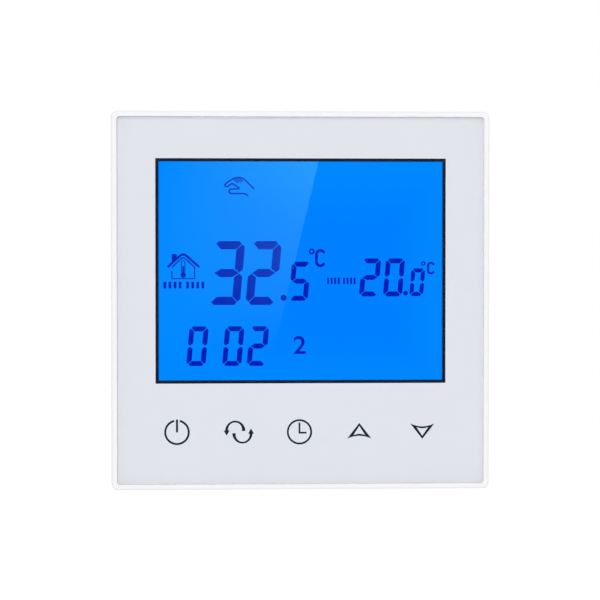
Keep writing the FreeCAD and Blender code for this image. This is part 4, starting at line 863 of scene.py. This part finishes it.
def show(name, rows, dots=(), rings=()):
    """One piece from digits, dots and degree rings."""
    shape = bmesh.new()
    for row in rows:
        digit(shape, *row)
    for centre, radius in dots:
        dot(shape, centre, radius)
    for centre, radius, stroke in rings:
        arc(shape, radius, stroke, 0, 360, centre)
    thicken(shape, SEGMENT_THICKNESS)
    piece = stand_up(name, shape, SEGMENT_BACK_Y, (0, VIEW_Z), segment_ink)
    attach(piece, "panel")


show("room_temperature_digits", ROOM, [((-3.9, -6.05), 0.7)], [((2.45, 4.4), 0.5, 0.38)])
show("set_temperature_digits", SET_POINT, [((23.75, -5.05), 0.52)], [((27.75, 1.68), 0.38, 0.28)])
show("counter_digits", COUNTER)

# %% [markdown]
# **Letters.** The two degree signs end in a C. The built-in font's C is too round for a display, so the
# pen draws a narrow one: two half circles joined by an upright. The plain figure beside the counter is the
# font's own, stretched to its box.


# %% Letters and the plain figure
def drawn_text(text, weight):
    """Closed bmesh of a text in the built-in font, fattened by a weight."""
    font = bpy.data.curves.new("text", "FONT")
    font.body = text
    font.offset = weight
    font.extrude = 0.5
    holder = bpy.data.objects.new("text", font)
    scene.collection.objects.link(holder)
    drawn = bpy.data.meshes.new_from_object(holder.evaluated_get(bpy.context.evaluated_depsgraph_get()))
    bpy.data.objects.remove(holder)
    shape = bmesh.new()
    shape.from_mesh(drawn)
    bpy.data.meshes.remove(drawn)
    bmesh.ops.remove_doubles(shape, verts=shape.verts, dist=1e-5)
    return shape


def figure(name, text, low, high, weight):
    """Figure in the built-in font, stretched to fill a box."""
    shape = drawn_text(text, weight)
    found = [[vert.co[axis] for vert in shape.verts] for axis in range(3)]
    lows = Vector([min(values) for values in found])
    spans = Vector([max(values) for values in found]) - lows
    bmesh.ops.translate(shape, verts=shape.verts, vec=-lows)
    size = ((high[0] - low[0]) / spans.x, (high[1] - low[1]) / spans.y, SEGMENT_THICKNESS / spans.z)
    bmesh.ops.scale(shape, verts=shape.verts, vec=size)
    bmesh.ops.translate(shape, verts=shape.verts, vec=(low[0], low[1], 0))
    bmesh.ops.recalc_face_normals(shape, faces=shape.faces[:])
    piece = stand_up(name, shape, SEGMENT_BACK_Y, (0, VIEW_Z), segment_ink)
    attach(piece, "panel")


def letter_c(name, low, high, stroke):
    """Narrow round-ended letter C in a box: a half circle at each end of an upright stroke."""
    radius = (high[0] - low[0] - stroke) / 2
    middle_x = (low[0] + high[0]) / 2
    top_y, base_y = high[1] - stroke / 2 - radius, low[1] + stroke / 2 + radius
    opening = 15  # degrees past level at which each end stops
    steps = 12
    turns = [math.radians(opening + (180 - opening) * index / steps) for index in range(steps + 1)]
    upper = [(middle_x + radius * math.cos(turn), top_y + radius * math.sin(turn)) for turn in turns]
    lower = [(x, base_y - (y - top_y)) for x, y in reversed(upper)]
    shape = bmesh.new()
    pen_line(shape, upper + lower, [stroke] * (len(upper) + len(lower)), SEGMENT_THICKNESS)
    piece = stand_up(name, shape, SEGMENT_BACK_Y, (0, VIEW_Z), segment_ink)
    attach(piece, "panel")


letter_c("room_degree_letter", (3.22, 0.85), (5.62, 4.95), 0.62)
letter_c("set_degree_letter", (28.62, -0.8), (30.42, 2.05), 0.46)
figure("plain_figure", "2", (-1.65, -18.75), (1.15, -14.75), 0.008)

# %% [markdown]
# **Signs on the display.** Above the numbers stands a sign for hand operation, and at the left one for the
# room: a house with a thermometer in it. They are drawn with the pen line, rounded by a spline where a hand
# would round them, and two rows of plain level bars stand where captions would.

# %% Signs on the display
SIGN_PEN = 0.4
SIGN_Z = VIEW_Z - 0.22 * MM


def smooth(points, steps=4):
    """More points along a rounded path through a few, by a spline through them."""
    found = []
    for index in range(len(points) - 1):
        before, here = points[max(0, index - 1)], points[index]
        there, after = points[index + 1], points[min(len(points) - 1, index + 2)]
        for step in range(steps):
            t = step / steps
            found.append(tuple(0.5 * (2 * b + (c - a) * t + (2 * a - 5 * b + 4 * c - d) * t * t
                                      + (3 * b - a - 3 * c + d) * t ** 3)
                               for a, b, c, d in zip(before, here, there, after)))
    return found + [points[-1]]


def strokes(shape, paths):
    """Draws pen lines, each given as its points and its width."""
    for points, width in paths:
        pen_line(shape, points, [width] * len(points), SEGMENT_THICKNESS)


def house_sign():
    """House front with a chimney and a thermometer, about 7 mm wide."""
    shape = bmesh.new()
    outline(shape, [(-29.15, 1.8), (-28.0, 2.75), (-28.0, 4.05), (-29.15, 4.05)])
    dot(shape, (-26.55, -0.72), 0.6)
    bar(shape, (-26.75, -0.6), (-26.35, 1.35))
    thicken(shape, SEGMENT_THICKNESS)
    roof = [(-30.05, 1.1), (-27.4, 3.55), (-26.95, 3.85), (-26.55, 3.95), (-26.15, 3.85), (-25.7, 3.55),
            (-22.95, 1.1)]
    under_roof = [(-29.1, 1.05), (-26.95, 3.05), (-26.55, 3.2), (-26.15, 3.05), (-24.0, 1.1), (-24.0, -1.5),
                  (-29.1, -1.5), (-29.1, 0.2)]
    tube = [(-26.93, -0.2), (-26.93, 2.2), (-26.8, 2.5), (-26.55, 2.6), (-26.3, 2.5), (-26.17, 2.2),
            (-26.17, -0.2)]
    strokes(shape, [(roof, 0.55), (under_roof, SIGN_PEN * 0.75), (tube, SIGN_PEN * 0.5)])
    return shape


def hand_sign():
    """Open hand seen from the side: fingers to the left, wrist to the lower right."""
    shape = bmesh.new()
    back = smooth([(-10.55, 18.7), (-12.75, 20.85), (-13.5, 21.2), (-14.3, 21.3), (-15.4, 20.95),
                   (-16.85, 20.0), (-17.15, 19.5), (-16.7, 19.2), (-15.75, 19.8), (-15.35, 19.85),
                   (-13.85, 18.9)])
    thumb = smooth([(-13.85, 18.9), (-14.4, 18.7), (-15.6, 18.7), (-16.15, 18.4), (-16.15, 17.95),
                    (-15.6, 17.68), (-13.0, 17.7), (-12.45, 17.55), (-11.9, 17.15)])
    paths = [(back, SIGN_PEN * 0.85), (thumb, SIGN_PEN * 0.85)]
    for shift in (0.0, 0.55, 1.1):
        crease = [(-15.15 + shift, 20.9 + shift * 0.3), (-14.1 + shift, 20.0 + shift * 0.35)]
        paths.append((crease, SIGN_PEN * 0.75))
    strokes(shape, paths)
    return shape


def level_bars(low_x, high_x, base, height):
    """Row of eight upright bars, as a gauge of level, parted in the middle."""
    shape = bmesh.new()
    count = 8
    parting = 0.5  # the gap in the middle is wider by this share of the pitch
    pitch = (high_x - low_x) / (count + parting)
    for index in range(count):
        left = low_x + pitch * (index + (parting if index >= count / 2 else 0.0))
        bar(shape, (left, base), (left + 0.55 * pitch, base + height))
    thicken(shape, SEGMENT_THICKNESS)
    return shape


SHOWN = {
    "house_sign": house_sign(),
    "hand_sign": hand_sign(),
    "room_level_bars": level_bars(-31.0, -21.3, -3.7, 1.5),
    "set_level_bars": level_bars(5.95, 12.75, -2.75, 1.45),
}
for name, shape in SHOWN.items():
    piece = stand_up(name, shape, SEGMENT_BACK_Y, (0, SIGN_Z), segment_ink)
    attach(piece, "panel")

# %% [markdown]
# **Terminal numbers.** A fitter needs to know which clamp is which, so a plain white number is printed under
# each screw on the block's back. The built-in font's outlines are given a thickness and turned to the wall.

# %% Printed numbers on the terminal block
BLOCK_LOW, BLOCK_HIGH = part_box("terminal_block")
NUMBER_HEIGHT = 1.9
NUMBER_THICKNESS = 0.03
NUMBER_WEIGHT = 0.02
TERMINAL_COUNT = 6
for count in range(1, TERMINAL_COUNT + 1):
    low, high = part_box(f"terminal_screw_{count}")
    shape = drawn_text(str(count), NUMBER_WEIGHT)
    spread = [vert.co.x for vert in shape.verts]
    rise = [vert.co.y for vert in shape.verts]
    deep = [vert.co.z for vert in shape.verts]
    size = NUMBER_HEIGHT / (max(rise) - min(rise))
    middle = (max(spread) + min(spread)) / 2
    bmesh.ops.translate(shape, verts=shape.verts, vec=(-middle, -min(rise), -min(deep)))
    bmesh.ops.scale(shape, verts=shape.verts, vec=(size, size, NUMBER_THICKNESS / (max(deep) - min(deep))))
    place = ((low.x + high.x) / 2, (BLOCK_LOW.z + low.z) / 2 - NUMBER_HEIGHT / 2 * MM)
    number = stand_up(f"terminal_number_{count}", shape, BLOCK_HIGH.y, place, WHITE_INK,
                      facing=1)
    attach(number, "base")
